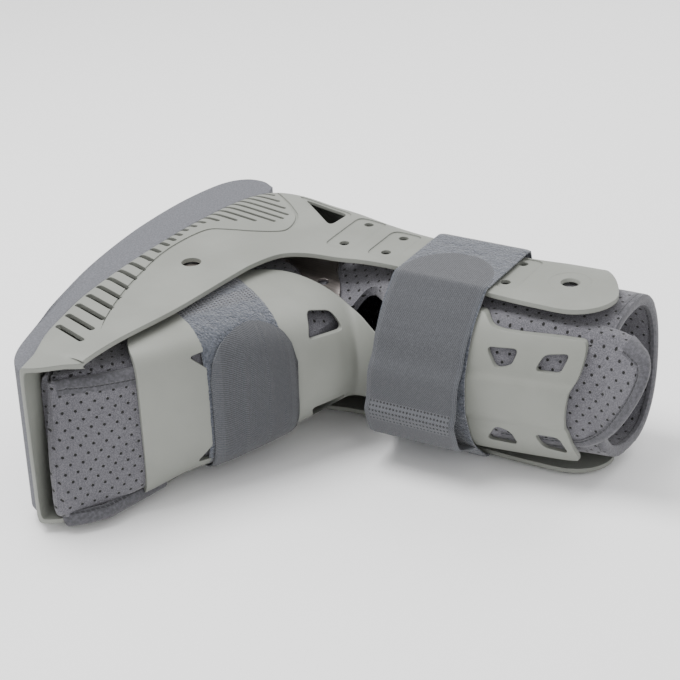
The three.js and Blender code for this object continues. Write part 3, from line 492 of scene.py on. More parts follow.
# Colours, each a darker and a lighter tint, then those that are used alone
TINTS = {
    "plastic": ((120, 122, 116), (130, 132, 126)),
    "rubber": ((84, 85, 90), (100, 101, 107)),
    "cloth": ((70, 69, 74), (81, 80, 85)),
    "binding": ((66, 66, 70), (84, 83, 89)),
    "loop": ((52, 56, 64), (84, 88, 98)),
    "loop_sewn": ((28, 28, 32), (96, 98, 105)),
    "hook": ((55, 56, 60), (76, 78, 83)),
    "hook_sewn": ((30, 30, 34), (104, 106, 111)),
    "selvedge": ((60, 62, 67), (82, 84, 89)),
    "metal": ((168, 160, 157), (196, 188, 184)),
}
FLECK = (108, 107, 113)
# Painted shade: the near-black that stands in for the shade inside each perforation of the cloth
HOLE_SHADE = (8, 8, 9)
SEAM = (46, 46, 50)
TUFT = (76, 80, 88)
HOOK_SPECK = (92, 94, 99)
# Perforations of the cloth, in metres: spacing both ways and radius
HOLE_PITCH = (0.008, 0.0054)
HOLE_RADIUS = 0.00092


def srgb(colour):
    values = [v / 255 for v in colour]
    return tuple(v / 12.92 if v < 0.04045 else ((v + 0.055) / 1.055) ** 2.4 for v in values) + (1,)


class Value:
    """A number inside a material, from one socket, that plain arithmetic works on."""

    def __init__(self, finish, socket):
        self.finish = finish
        self.socket = socket

    def __add__(self, other):
        return self.finish.maths("ADD", self, other)

    def __sub__(self, other):
        return self.finish.maths("SUBTRACT", self, other)

    def __rsub__(self, other):
        return self.finish.maths("SUBTRACT", other, self)

    def __mul__(self, other):
        return self.finish.maths("MULTIPLY", self, other)

    def __truediv__(self, other):
        return self.finish.maths("DIVIDE", self, other)

    def size(self):
        return self.finish.maths("ABSOLUTE", self)

    def fract(self):
        return self.finish.maths("FRACT", self)

    def above(self, limit):
        return self.finish.maths("GREATER_THAN", self, limit)

    def below(self, limit):
        return self.finish.maths("LESS_THAN", self, limit)


class Finish:
    """A procedural material, put together from a few kinds of nodes."""

    def __init__(self, name, roughness, metallic=0.0, sheen=0.0):
        self.material = bpy.data.materials.new(name)
        self.material.use_nodes = True
        self.tree = self.material.node_tree
        self.shader = self.tree.nodes["Principled BSDF"]
        self.shader.inputs["Roughness"].default_value = roughness
        self.shader.inputs["Metallic"].default_value = metallic
        self.shader.inputs["Sheen Weight"].default_value = sheen
        self.where = self.tree.nodes.new("ShaderNodeTexCoord")

    def put(self, socket, value):
        if isinstance(value, Value):
            value = value.socket
        if isinstance(value, bpy.types.NodeSocket):
            self.tree.links.new(value, socket)
        else:
            socket.default_value = value

    def node(self, kind, *inputs):
        """A new node, with the value or socket for each input that is named or numbered."""
        made = self.tree.nodes.new("ShaderNode" + kind)
        for name, value in inputs:
            self.put(made.inputs[name], value)
        return made

    def maths(self, how, *values):
        node = self.node("Math", *enumerate(values))
        node.operation = how
        return Value(self, node.outputs[0])

    def split(self, vector):
        return [Value(self, socket) for socket in self.node("SeparateXYZ", (0, vector)).outputs]

    def noise(self, scale, detail, vector=None):
        vector = vector or self.where.outputs["Object"]
        node = self.node("TexNoise", ("Scale", scale), ("Detail", detail), ("Vector", vector))
        return Value(self, node.outputs["Fac"])

    def mix(self, share, first, second):
        node = self.tree.nodes.new("ShaderNodeMix")
        node.data_type = "RGBA"
        self.put(node.inputs["Factor"], share)
        sockets = [s for s in node.inputs if s.type == "RGBA"]
        self.put(sockets[0], first)
        self.put(sockets[1], second)
        return next(s for s in node.outputs if s.type == "RGBA")

    def tint(self, name, share):
        return self.mix(share, *(srgb(colour) for colour in TINTS[name]))

    def step(self, value, low, high):
        node = self.node("MapRange", ("Value", value), ("From Min", low), ("From Max", high))
        node.interpolation_type = "SMOOTHSTEP"
        return Value(self, node.outputs[0])

    def bump(self, height, distance, *normal):
        """The normal of a bumped surface, over another normal where one is given."""
        inputs = ("Height", height), ("Distance", distance)
        return self.node("Bump", *inputs, *(("Normal", socket) for socket in normal)).outputs[0]

    def soft_edges(self, radius):
        node = self.node("Bevel", ("Radius", radius))
        node.samples = 4
        return node.outputs[0]

    def dots(self, across, along, pitch_across, pitch_along, radius, stagger=0.5):
        """1 inside round dots on a grid of two coordinates, every second row staggered."""
        rows = along / pitch_along
        odd = self.maths("MODULO", self.maths("FLOOR", rows), 2.0)
        shifted = across / pitch_across + odd * stagger
        off_across = (shifted.fract() - 0.5) * pitch_across
        off_along = (rows.fract() - 0.5) * pitch_along
        far = self.maths("SQRT", off_across * off_across + off_along * off_along)
        return self.step(far, radius * 1.25, radius * 0.8)

    def sewn(self, colour, height, name, patch, pitch, radius, depth):
        """Colour and height with stitch holes added in a rectangle: start, end, low, high."""
        start, end, low, high = patch
        run, across, _ = self.split(self.where.outputs["UV"])
        within = run.above(start) * run.below(end) * (across.above(low) * across.below(high))
        stitches = self.dots(across, run, 2.4, pitch, radius, 0.0) * within
        dark, light = TINTS[name]
        colour = self.mix(within * 0.5, colour, srgb(light))
        return self.mix(stitches, colour, srgb(dark)), height - stitches * depth

    def done(self, colour, normal):
        self.put(self.shader.inputs["Base Color"], colour)
        self.put(self.shader.inputs["Normal"], normal)
        return self.material


def plastic_finish():
    f = Finish("moulded_plastic", 0.5)
    colour = f.tint("plastic", f.step(f.noise(18, 4), 0.3, 0.75))
    f.put(f.shader.inputs["Roughness"], f.noise(60, 3) * 0.16 + 0.44)
    return f.done(colour, f.bump(f.noise(1400, 2), 0.00008, f.soft_edges(0.0009)))


def rubber_finish():
    f = Finish("sole_rubber", 0.8)
    colour = f.tint("rubber", f.step(f.noise(900, 3), 0.35, 0.7))
    return f.done(colour, f.bump(f.noise(700, 4), 0.00025, f.soft_edges(0.0018)))


def padding_finish(name, direction):
    """Perforated cloth, with painted shade in its holes. direction is the way in the plan in which the rows
    of holes run on.
    """
    f = Finish(name, 0.95, sheen=0.25)
    x, y, z = f.split(f.where.outputs["Object"])
    geometry = f.tree.nodes.new("ShaderNodeNewGeometry")
    sideways = f.split(geometry.outputs["Normal"])[2].size().above(0.62)
    first = x * direction[0] + y * direction[1]
    second = y * sideways + z * (1.0 - sideways)
    holes = f.dots(first, second, *HOLE_PITCH, HOLE_RADIUS)
    knit = f.noise(1500, 2)
    cloth = f.tint("cloth", f.step(f.noise(25, 4), 0.3, 0.7))
    cloth = f.mix(f.step(knit, 0.35, 0.7), cloth, srgb(FLECK))
    # The holes are painted near-black as shade, and sunk a little by the bump
    return f.done(f.mix(holes, cloth, srgb(HOLE_SHADE)), f.bump(knit * 0.35 - holes, 0.0007))


def binding_finish():
    """Ribbed tape with a sunk seam along it."""
    f = Finish("binding_tape", 0.9, sheen=0.2)
    run, inward, _ = f.split(f.where.outputs["UV"])
    ribs = f.maths("SINE", run * (math.tau / 0.9))
    line = f.step((inward - 4.4).size(), 0.7, 0.3)
    dash = f.step(((run / 3.2).fract() - 0.5).size(), 0.5, 0.2)
    seam = line * (dash * 0.6 + 0.4)
    colour = f.tint("binding", f.step(f.noise(500, 3), 0.35, 0.7))
    return f.done(f.mix(seam, colour, srgb(SEAM)), f.bump(ribs * 0.12 - seam, 0.0005))


def loop_finish(name, patch=None):
    """Fuzzy loop fabric, with or without a sewn rectangle."""
    f = Finish(name, 1.0, sheen=0.4)
    fuzz = f.noise(700, 6)
    tufts = f.noise(160, 5)
    colour = f.tint("loop", f.step(fuzz, 0.35, 0.68))
    colour = f.mix(f.step(tufts, 0.4, 0.8), colour, srgb(TUFT))
    height = fuzz + tufts * 1.5
    if patch is not None:
        colour, height = f.sewn(colour, height, "loop_sewn", patch, 2.6, 0.7, 1.0)
    return f.done(colour, f.bump(height, 0.0014))


def hook_finish(name, half_width, patch):
    """Twill webbing with corded edges and a sewn rectangle."""
    f = Finish(name, 0.85, sheen=0.15)
    run, across, _ = f.split(f.where.outputs["UV"])
    twill = f.maths("SINE", (run + across) * (math.tau / 1.5))
    cords = f.maths("SINE", across * (math.tau / 1.1))
    edge = f.step(across.size(), half_width - 3.4, half_width - 2.6)
    middle = f.tint("hook", f.step(twill, -0.6, 0.8))
    colour = f.mix(edge, middle, f.tint("selvedge", f.step(cords, -0.5, 0.7)))
    colour, height = f.sewn(colour, twill * 0.5, "hook_sewn", patch, 3.1, 0.75, 1.5)
    specks = f.step(f.noise(900, 3), 0.4, 0.75) * 0.35
    return f.done(f.mix(specks, colour, srgb(HOOK_SPECK)), f.bump(height, 0.00035))


def metal_finish():
    f = Finish("brushed_metal", 0.3, metallic=1.0)
    x, y, z = f.split(f.where.outputs["Object"])
    stretched = f.node("CombineXYZ", (0, x * 60.0), (1, y * 2500.0), (2, z)).outputs[0]
    scratches = f.noise(1.0, 3, stretched)
    f.put(f.shader.inputs["Roughness"], scratches * 0.2 + 0.24)
    colour = f.tint("metal", f.step(scratches, 0.3, 0.7))
    return f.done(colour, f.bump(scratches, 0.00006, f.soft_edges(0.0005)))


PLASTIC = plastic_finish()
RUBBER = rubber_finish()
PADDING = padding_finish("perforated_padding", (1.0, 0.0))
TOE_PADDING = padding_finish("perforated_toe_padding", (0.63, 0.78))
BINDING = binding_finish()
LOOP = loop_finish("loop_fabric")
METAL = metal_finish()


def dress(piece, name, material, nodes, angle):
    """Names a piece, gives it its material and slot, and shades it smooth up to an angle between faces."""
    piece.name = name
    piece.data.name = name
    piece.data.materials.clear()
    piece.data.materials.append(material)
    piece.data.validate()
    piece.data.shade_smooth()
    piece.data.set_sharp_from_angle(angle=math.radians(angle))
    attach(piece, "root")
    if nodes:
        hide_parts(*nodes)
    return piece


def basis(origin, along, out):
    """How an outline that isn't seen from the side is read: along the plan, across the boot and out."""
    return np.array([*origin, 0]), np.array([*along, 0]), np.array([0, 0, 1.0]), np.array([*out, 0])


FRONT_BASIS = basis((0.0, 0.0), (1.0, 0.0), (0.0, -1.0))


def points_of(rows):
    return np.array([plan(up, along) for up, along in rows])


# Cutters reach out to FULL from the middle plane. They begin at WALL_CUT or, on the struts, at STRUT_CUT
FULL = 90
WALL_CUT = 44
STRUT_CUT = 30

# Shell
SHELL_PROFILE = [
    (0.18, 2.0), (0.13, 1.93), (0.08, 1.81), (0.02, 1.6), (-0.03, 1.3), (-0.04, 1.06), (-0.03, 0.7),
    (0.0, 0.4), (0.05, 0.1), (0.16, -0.05), (0.4, -0.06), (0.6, 0.0), (0.84, 0.13), (0.98, 0.24),
    (1.14, 0.32), (1.32, 0.34), (1.54, 0.34), (1.67, 0.31), (1.8, 0.24), (1.87, 0.31), (1.95, 0.44),
    (2.0, 0.59), (1.97, 0.72), (1.88, 0.8), (1.74, 0.81), (1.54, 0.8), (1.3, 0.755), (1.11, 0.725),
    (0.95, 0.725), (0.8, 0.75), (0.68, 0.78), (0.59, 0.85), (0.54, 1.0), (0.52, 1.12), (0.48, 1.45),
    (0.42, 1.7), (0.38, 1.86), (0.33, 1.92), (0.25, 1.985),
]
# Vent slots: place in the row, length share, width share, tilt in degrees
SLOT_ROWS = np.array([
    [0, 0.45, 1, -20], [0.08, 0.5, 1, -20], [0.2, 0.38, 0.95, -21], [0.36, 0.18, 0.9, -22],
    [0.52, 0.09, 0.85, -18], [0.62, 0.16, 0.75, -12], [0.68, 0.44, 0.65, -11], [0.77, 0.92, 0.6, -11],
    [0.85, 0.86, 0.6, -11], [0.93, 0.44, 0.6, -9], [1, 0.12, 0.6, -3],
])
LACE_PAIRS = [
    ((0.78, 0.58), (0.78, 0.32)), ((0.99, 0.59), (0.99, 0.4)), ((1.18, 0.61), (1.18, 0.4)),
    ((1.36, 0.62), (1.36, 0.41)), ((1.55, 0.65), (1.54, 0.42)),
]
TOP_HOLE = plan(1.78, 0.52)
HEEL_WINDOW = points_of([(0.37, 0.16), (0.64, 0.24), (0.63, 0.42)])
# The crease that bounds the vents, from the toe to the heel
CREASE = points_of([
    (0.31, 1.68), (0.27, 1.6), (0.22, 1.47), (0.18, 1.34), (0.15, 1.21), (0.13, 1.1), (0.125, 0.99),
    (0.14, 0.84), (0.17, 0.74), (0.24, 0.7), (0.36, 0.66), (0.47, 0.6), (0.485, 0.52), (0.45, 0.4),
    (0.37, 0.3), (0.28, 0.21), (0.2, 0.13), (0.14, 0.06),
])


def slot_outline(index):
    t = index / (SLOT_COUNT - 1)
    along = SLOT_TOE + (SLOT_HEEL - SLOT_TOE) * t * (1 + SLOT_BUNCHING * (1 - t))
    sole = SHELL_PROFILE[1:9]
    up = np.interp(-along, [-row[1] for row in sole], [row[0] for row in sole])
    length, width, tilt = read_line(SLOT_ROWS[:, 1:], SLOT_ROWS[:, 0], [t])[0]
    radius = SLOT_WIDTH * width / 2
    tilt = math.radians(tilt)
    start = plan(up, along) + np.array([SLOT_WIDTH + SLOT_INSET, 0])
    direction = facing(tilt)
    points = []
    for end, turn in ((0, math.pi / 2), (length * SLOT_LENGTH, -math.pi / 2)):
        for angle in tilt + turn + np.linspace(0, math.pi, 7):
            points.append(start + direction * end + radius * facing(angle))
    return np.array(points)


def sideways(line):
    """The direction square to a flat line, at each of its points."""
    tangent = np.gradient(line, axis=0)
    tangent /= np.linalg.norm(tangent, axis=1, keepdims=True)
    return np.stack([-tangent[:, 1], tangent[:, 0]], 1)


def strip(line, width):
    """The outline of a line drawn with one width, which tapers at its ends."""
    share = np.linspace(0, 1, len(line))
    taper = np.clip(np.minimum(share, 1 - share) / 0.15, 0.05, 1)
    normal = sideways(line) * (width * taper / 2)[:, None]
    return np.vstack([line + normal, (line - normal)[::-1]])


def shell_pockets():
    """Shallow recesses: a panel round each pair of lace holes, the window's ledge and the crease."""
    outlines = []
    for first, second in LACE_PAIRS:
        a, b = plan(*first), plan(*second)
        low, high = min(a[1], b[1]) - PANEL_MARGIN, max(a[1], b[1]) + PANEL_MARGIN
        x = (a[0] + b[0]) / 2
        left, right = x - PANEL_WIDTH / 2, x + PANEL_WIDTH / 2
        outlines.append(rounded([(left, low), (right, low), (right, high), (left, high)], 7))
    centre = HEEL_WINDOW.mean(0)
    outlines.append(rounded(centre + (HEEL_WINDOW - centre) * 1.3, 9))
    outlines.append(strip(smooth_open(CREASE, 6), CREASE_WIDTH))
    skin = body_solid({"wall": SHELL_WALL + 4}, 0.5, LAST - 0.2)
    combine(skin, body_solid({"wall": SHELL_WALL - POCKET_DEPTH}, 0, LAST))
    areas = [part for outline in outlines for part in both_sides(outline, STRUT_CUT, FULL)]
    return combine(skin, join(areas), "INTERSECT")


# The flare and the dish of the top hole: radius, and height from the middle plane
DISH = np.array([(4.3, 54), (5.4, 55.6), (6.2, 57.2), (7.6, 57.4), (13, 57.7), (16, 60)])


def turned(centre, rows, count):
    """A round solid through rows of a radius and a height from the middle plane."""
    rings = []
    for radius, level in rows:
        rings.append(np.column_stack([circle(centre, radius, count), np.full(count, level)]))
    return loft("turned", rings)


def heel_cup_cut():
    """What is left out of the back, above the heel cup."""
    wide = HALF_WIDTH * 0.8
    cup, dip, end = plan(0.8, 0)[0], plan(0.68, 0)[0], plan(2.2, 0)[0]
    start, near = cup + wide * 0.5, wide * 0.6
    outline = [(start, -wide), (dip, -near), (dip, near), (start, wide), (end, wide), (end, -wide)]
    return prism(rounded(outline, wide * 0.4), -LEG_DEPTH, LEG_DEPTH, FRONT_BASIS)


def make_shell():
    shell = body_solid({"wall": SHELL_WALL}, -1, LAST)
    combine(shell, body_solid({"wall": 0}, -1.5, LAST + 0.5))
    combine(shell, prism(smooth_closed(points_of(SHELL_PROFILE), 5), -FULL, FULL), "INTERSECT")
    cutters = []
    for index in range(SLOT_COUNT):
        cutters += both_sides(slot_outline(index), WALL_CUT, FULL)
    for pair in LACE_PAIRS:
        for hole in pair:
            cutters += both_sides(circle(plan(*hole), LACE_RADIUS, 24), STRUT_CUT, FULL)
    holes = [circle(TOP_HOLE, TOP_HOLE_RADIUS), circle(RIVET, RIVET_HOLE_RADIUS)]
    for outline in (*holes, rounded(HEEL_WINDOW, 7)):
        cutters += both_sides(outline, WALL_CUT, FULL)
    combine(shell, join(cutters))
    combine(shell, join([turned(TOP_HOLE, DISH * (1, side), 40) for side in (1, -1)]))
    combine(shell, shell_pockets())
    return combine(shell, heel_cup_cut())


dress(make_shell(), "shell_skin", PLASTIC, ["shell"], 30)

# Outsole
OUTSOLE_PROFILE = [
    (0.18, 1.99, 0), (0.11, 1.95, 0), (0.05, 1.86, 0), (0, 1.68, 0), (0, 1.49, 0.35), (0, 1.25, 0.72),
    (0, 1.0, 0.94), (0, 0.72, 1), (0, 0.41, 0.92), (0, 0.14, 0.64), (0, 0.02, 0.2), (0.06, 0.0, 0),
    (0.14, 0.05, 0),
]


def make_outsole():
    under = [plan(up, along) - [OUTSOLE_DEPTH * depth, 0] for up, along, depth in OUTSOLE_PROFILE]
    above = [plan(row[0], row[1]) for row in SECTIONS[8:0:-1]]
    outline = np.vstack([smooth_open(under, 6), above])
    sole = body_solid({"wall": SHELL_WALL + OUTSOLE_DEPTH * 1.6}, -1, 10)
    combine(sole, prism(outline, OUTSOLE_INSET - HALF_WIDTH, HALF_WIDTH - OUTSOLE_INSET), "INTERSECT")
    combine(sole, body_solid({"wall": SHELL_WALL + GAP}, -1.5, 11))
    narrow_start, narrow_end = plan(0, 1.6)[1], plan(0, 1.95)[1]
    for vertex in sole.data.vertices:
        share = (vertex.co.y * 1000 - SHIFT[1] - narrow_start) / (narrow_end - narrow_start)
        middle = SHIFT[2] * 0.001
        vertex.co.z = middle + (vertex.co.z - middle) * (1 - OUTSOLE_NARROWING * min(max(share, 0), 1))
    return sole


dress(make_outsole(), "outsole_skin", RUBBER, ["outsole"], 30)

# Soft pieces
SEAMS = [Section(8), Section(13)]


def distance_to_section(point, section):
    normal = np.array([-section.towards[1], section.towards[0]])
    return float(np.dot(point[:2] - section.back, normal))


def padded_offset(swell, wrinkle, seams=True):
    """Quilted swell between the seams with small uneven creases."""

    def offset(point):
        broad = noise.noise(Vector(point) * 0.035)
        stretched = Vector((point[0] * 0.11, point[1] * 0.11, point[2] * 0.05))
        crease = noise.noise(stretched + Vector((9, 2, 4)))
        fine = noise.noise(Vector(point) * 0.3)
        move = swell * broad + wrinkle * (0.5 - abs(crease) * 2) + 0.12 * fine
        if seams:
            for section in SEAMS:
                far = distance_to_section(point, section)
                move -= SEAM_DEPTH * math.exp(-(far / SEAM_WIDTH) ** 2)
        return move

    return offset


def ripple(height, scale):
    return lambda point: height * noise.noise(Vector(point) * scale)


def skin(layer, thick, start, end, step, count):
    outer = dict(layer, grow=layer["grow"] + thick)
    made = body_solid(outer, start, end, count, step)
    return combine(made, body_solid(layer, start - 0.5, end + 0.5, count, step))


# The cloth at the ankle sags into its notch, so the gap seen is smaller than the cut
ANKLE_NOTCH = points_of([
    (0.86, 1.12), (0.91, 0.85), (0.97, 0.72), (1.04, 0.75), (1.1, 0.87), (1.13, 1.12),
])


def make_liner():
    liner = body_solid({"slumps": True}, 0, LAST, 150, 0.12, 3)
    inside = {"grow": -LINER_WALL, "slumps": True}
    combine(liner, body_solid(inside, LINER_WALL / END_ROW, LAST + 0.5, 150, 0.12))
    combine(liner, prism(rounded(ANKLE_NOTCH, 9), -FULL, FULL))
    displace(liner, padded_offset(0.5, 0.45))
    return liner


LINER_NODES = ["liner_foot", "liner_heel", "liner_leg"]
liner = dress(make_liner(), "liner_skin", PADDING, LINER_NODES, 50)


# The tapes' profiles: how far inward from the edge, and how high over the middle of the cloth
RIM_TAPE = [
    (8, 3.1), (4, 3.2), (0, 3.1), (-1.6, 2), (-2, 0), (-1.6, -2), (0, -3.6), (5, -3.8), (5, -2), (8, 2.2),
]
TOE_TAPE = [
    (8, 2.0), (4, 2.5), (0, 2.4), (-1.4, 1.3), (-1.6, 0), (-1.4, -1.1), (0, -1.6), (1.5, -1.4), (3, 1.2),
]
SHIN_TAPE = [
    (5.5, 2.9), (3.5, 3.3), (0.5, 3.1), (-1.2, 1.8), (-1.5, 0), (-1.2, -1.8), (0.5, -2.4), (2, -2.2),
    (2, 2.0),
]


def liner_rim():
    """Binding round the liner's top end."""

    def point_at(angle, inward, height):
        section = Section(LAST - inward / 40)
        return section.ring({"grow": -LINER_WALL / 2 + height}, np.array([angle]))[0]

    return tube("rim", turns(140), point_at, RIM_TAPE, closed=True)


dress(liner_rim(), "liner_rim", BINDING, (), 50)

TOE_FLAP_SIDE = points_of([
    (0.215, 2.0), (0.225, 1.9), (0.245, 1.86), (0.3, 1.78), (0.4, 1.67), (0.6, 1.45), (0.69, 1.36),
    (0.95, 1.5), (0.5, 2.0),
])
FLAP_TOP = 37
FLAP_START = -(FLAP_WALL + GAP) / END_ROW


def make_toe_flap():
    outside = {"grow": GAP + FLAP_WALL, "slumps": True}
    flap = body_solid(outside, FLAP_START, 5, 150, 0.1, TOE_ROUND)
    combine(flap, body_solid({"grow": GAP, "slumps": True}, -GAP / END_ROW, 6, 150, 0.1))
    combine(flap, prism(TOE_FLAP_SIDE, -FULL, FLAP_TOP), "INTERSECT")
    displace(flap, padded_offset(0.35, 0.3, False))
    return flap


toe_flap = dress(make_toe_flap(), "toe_flap_skin", TOE_PADDING, ["toe_flap"], 50)


def toe_binding():
    """Tape over the toe flap's free edge."""

    def point_at(place, inward, height):
        inset = end_inset(place, FLAP_START, TOE_ROUND)
        layer = {"grow": GAP + FLAP_WALL / 2 + height - inset, "slumps": True}
        return Section(place).dorsal(layer, FLAP_TOP - inward)

    round_places = FLAP_START + (1 - np.cos(np.linspace(0.25, math.pi / 2, 8))) * TOE_ROUND / END_ROW
    return tube("toe_tape", [*round_places, *np.linspace(0.15, 3.2, 60)], point_at, TOE_TAPE)


dress(toe_binding(), "toe_flap_binding", BINDING, (), 50)


HEM_LIFT = 4.6
HEM_SIDE = -50.5
HEM_WIDTH = 10.4
HEM_HEIGHT = 7.8


def toe_hem():
    """The padded hem of the toe, slumped over the edge of the lower side wall."""
    edge = np.array(SHELL_PROFILE[:-6:-1])

    def point_at(along, inward, height):
        x, y = plan(np.interp(-along, -edge[:, 1], edge[:, 0]), along)
        return np.array([x + HEM_LIFT + height, y, HEM_SIDE + inward])

    profile = circle(np.zeros(2), 0.5, 16) * (HEM_WIDTH, HEM_HEIGHT)
    return tube("toe_hem", np.linspace(1.965, 1.6, 40), point_at, profile)


dress(toe_hem(), "toe_hem_roll", BINDING, (), 60)

# The shin's surfaces, found by height up the leg
LEG_PLACES = np.linspace(12, LAST + 2.5, 130)
LEG_SECTIONS = [Section(place) for place in LEG_PLACES]


def shin_point(x, side, layer):
    found = np.array([section.dorsal(layer, side) for section in LEG_SECTIONS])
    return np.array([x, np.interp(x, found[:, 0], found[:, 1]), side])


SHIN_FLAP_FRONT = [
    (1.16, -0.5), (1.16, 0.72), (1.6, 0.8), (2.04, 0.78), (2.17, 0.69), (2.21, 0.58), (2.21, 0.4),
    (2.17, 0.12), (2.1, -0.2), (2.02, -0.42), (1.92, -0.52), (1.6, -0.55),
]


def front_points(rows, mirror=1):
    return np.array([(plan(up, 0)[0], side * HALF_WIDTH * mirror) for up, side in rows])


SHIN_LOW = LEG_DEPTH * 0.72


def shin_piece(layer, wall, end, count, rows):
    """A layer over the shin, kept inside an outline seen from the front."""
    piece = skin(layer, wall, 13, end, 0.12, count)
    outline = smooth_closed(front_points(rows), 6)
    return combine(piece, prism(outline, SHIN_LOW, LEG_DEPTH * 1.5, FRONT_BASIS), "INTERSECT")


def make_shin_flap():
    flap = shin_piece({"grow": GAP}, SHIN_FLAP_WALL, LAST + 2, 150, SHIN_FLAP_FRONT)
    displace(flap, padded_offset(0.6, 0.5, False))
    return flap


shin_flap = dress(make_shin_flap(), "shin_flap_skin", PADDING, ["shin_flap"], 50)


def shin_binding():
    """Tape round the shin flap's free corner."""
    outline = smooth_closed(front_points(SHIN_FLAP_FRONT), 8)
    line = outline[4 * 8 - 5:11 * 8]
    inward_side = sideways(line)
    centre = outline.mean(0)
    if np.dot(inward_side[len(line) // 2], centre - line[len(line) // 2]) < 0:
        inward_side = -inward_side

    def point_at(spot, inward, height):
        corner, inside = spot
        x, side = corner + inside * inward
        return shin_point(x, side, {"grow": GAP + SHIN_FLAP_WALL / 2 + height})

    return tube("shin_tape", list(zip(line, inward_side)), point_at, SHIN_TAPE)


dress(shin_binding(), "shin_flap_binding", BINDING, (), 50)

# Guards
INSTEP_LOW = plan(0.51, 1.73)
INSTEP_HIGH = plan(1.05, 0.9)
INSTEP_LENGTH = float(np.linalg.norm(INSTEP_HIGH - INSTEP_LOW))
INSTEP_ALONG = (INSTEP_HIGH - INSTEP_LOW) / INSTEP_LENGTH
INSTEP_OUT = np.array([INSTEP_ALONG[1], -INSTEP_ALONG[0]])
INSTEP_BASIS = basis(INSTEP_LOW, INSTEP_ALONG, INSTEP_OUT)
GUARD_SIDE = points_of([
    (0.7, 1.82), (0.4, 1.67), (0.35, 1.48), (0.36, 1.24), (0.47, 0.96), (0.61, 0.86), (0.78, 0.845),
    (0.94, 0.86), (1.22, 1.02),
])
INSTEP_VENTS = [
    [(0.22, 0.64), (0.3, 0.44), (0.34, 0.66)],
    [(0.73, 0.42), (0.77, 0.66), (0.88, 0.58), (0.9, 0.4)],
]


def make_instep_guard():
    guard = skin({"grow": STACK_GUARD}, GUARD_WALL, 0, 14, 0.2, 130)
    combine(guard, prism(rounded(GUARD_SIDE, 16), -FULL, FULL), "INTERSECT")
    vents = []
    for mirror in (1, -1):
        for rows in INSTEP_VENTS:
            outline = np.array(rows) * (INSTEP_LENGTH, HALF_WIDTH * mirror)
            vents.append(prism(rounded(outline, 4), -LEG_DEPTH / 3, LEG_DEPTH, INSTEP_BASIS))
    return combine(guard, join(vents))


dress(make_instep_guard(), "instep_guard_skin", PLASTIC, ["instep_guard"], 30)

SHIN_GUARD_FRONT = [
    (1.1, -0.62), (1.1, 0.62), (1.4, 0.74), (1.53, 0.85), (1.6, 0.74), (1.7, 0.72), (1.9, 0.73),
    (1.97, 0.69), (1.965, 0.4), (1.93, 0.16), (1.92, -0.2), (1.94, -0.48), (1.95, -0.66), (1.9, -0.74),
    (1.6, -0.74), (1.4, -0.74),
]
SHIN_VENTS = [
    [(1.59, 0.56), (1.72, 0.58), (1.7, 0.4), (1.64, 0.34)],
    [(1.79, 0.38), (1.82, 0.56), (1.92, 0.6), (1.89, 0.38)],
]


def make_shin_guard():
    guard = shin_piece({"grow": SHIN_STACK, "ridge": 2}, GUARD_WALL, LAST, 200, SHIN_GUARD_FRONT)
    vents = []
    for mirror in (1, -1):
        for rows in SHIN_VENTS:
            vents.append(prism(rounded(front_points(rows, mirror), 4), 0, LEG_DEPTH * 1.5, FRONT_BASIS))
    return combine(guard, join(vents))


dress(make_shin_guard(), "shin_guard_skin", PLASTIC, ["shin_guard"], 30)

# Foot strap and its tab, laid over the instep
FOOT_PLACES = np.linspace(0.5, 10, 120)
STRAP_MIDDLE = float(np.dot(RIVET - INSTEP_LOW, INSTEP_ALONG)) - FOOT_STRAP_SHIFT
STRAP_END = float(np.dot(RIVET - INSTEP_LOW, INSTEP_OUT)) - STRAP_PAST_RIVET


def instep_grid(grow, rows, columns, low_depth, half_width, middle=STRAP_MIDDLE, high_side=None, tip=0):
    """Points on a layer over the instep: rows from the lower side to the upper one, columns along it."""
    angles = np.radians(np.linspace(-118, 118, 141))
    rings = np.array([Section(place).ring({"grow": grow}, angles) for place in FOOT_PLACES])
    along = np.tensordot(rings[:, :, :2] - INSTEP_LOW, INSTEP_ALONG, 1)
    shares = np.linspace(-1, 1, columns)
    wanted = middle + shares * half_width
    lines = [read_line(rings[:, index], along[:, index], wanted) for index in range(len(angles))]
    surface = np.array(lines)
    depth = np.tensordot(surface[:, :, :2] - INSTEP_LOW, INSTEP_OUT, 1)
    grid = np.zeros((rows, columns, 3))
    for column in range(columns):
        line, deep, side = surface[:, column], depth[:, column], surface[:, column, 2]
        kept = deep > low_depth
        if high_side is not None:
            off = abs(shares[column] * half_width / tip)
            edge = high_side - tip + tip * max(1 - off ** TIP_SQUARE, 0) ** (1 / TIP_SQUARE)
            kept &= side < edge
        line = line[kept]
        run = run_along(line)
        grid[:, column] = read_line(line, run, np.linspace(0, run[-1], rows))
    return grid


foot_grid = instep_grid(STACK_STRAP, 90, 24, STRAP_END, FOOT_STRAP_WIDTH / 2)
foot_length = float(run_along(foot_grid[:, 12])[-1])
foot_strap = sheet_solid("foot_strap", foot_grid, STRAP_WALL)
displace(foot_strap, ripple(0.12, 0.5))
LOOP_FOOT = loop_finish("foot_strap_loop", (foot_length - 66, foot_length - 52, -28, 28))
dress(foot_strap, "foot_strap_band", LOOP_FOOT, ["foot_strap"], 60)

tab_half = FOOT_TAB_WIDTH / 2
tab_middle = STRAP_MIDDLE + FOOT_TAB_SHIFT
tab_place = (STRAP_END * 0.62, tab_half, tab_middle, FOOT_TAB_SIDE, tab_half)
foot_tab_grid = instep_grid(STACK_TAB, 80, 34, *tab_place)
foot_tab = sheet_solid("foot_tab", foot_tab_grid, TAB_WALL)
displace(foot_tab, ripple(0.12, 0.06))
HOOK_FOOT = hook_finish("foot_tab_webbing", tab_half, (6, 12, -24, 24))
dress(foot_tab, "foot_strap_tab_band", HOOK_FOOT, ["foot_strap_tab"], 60)

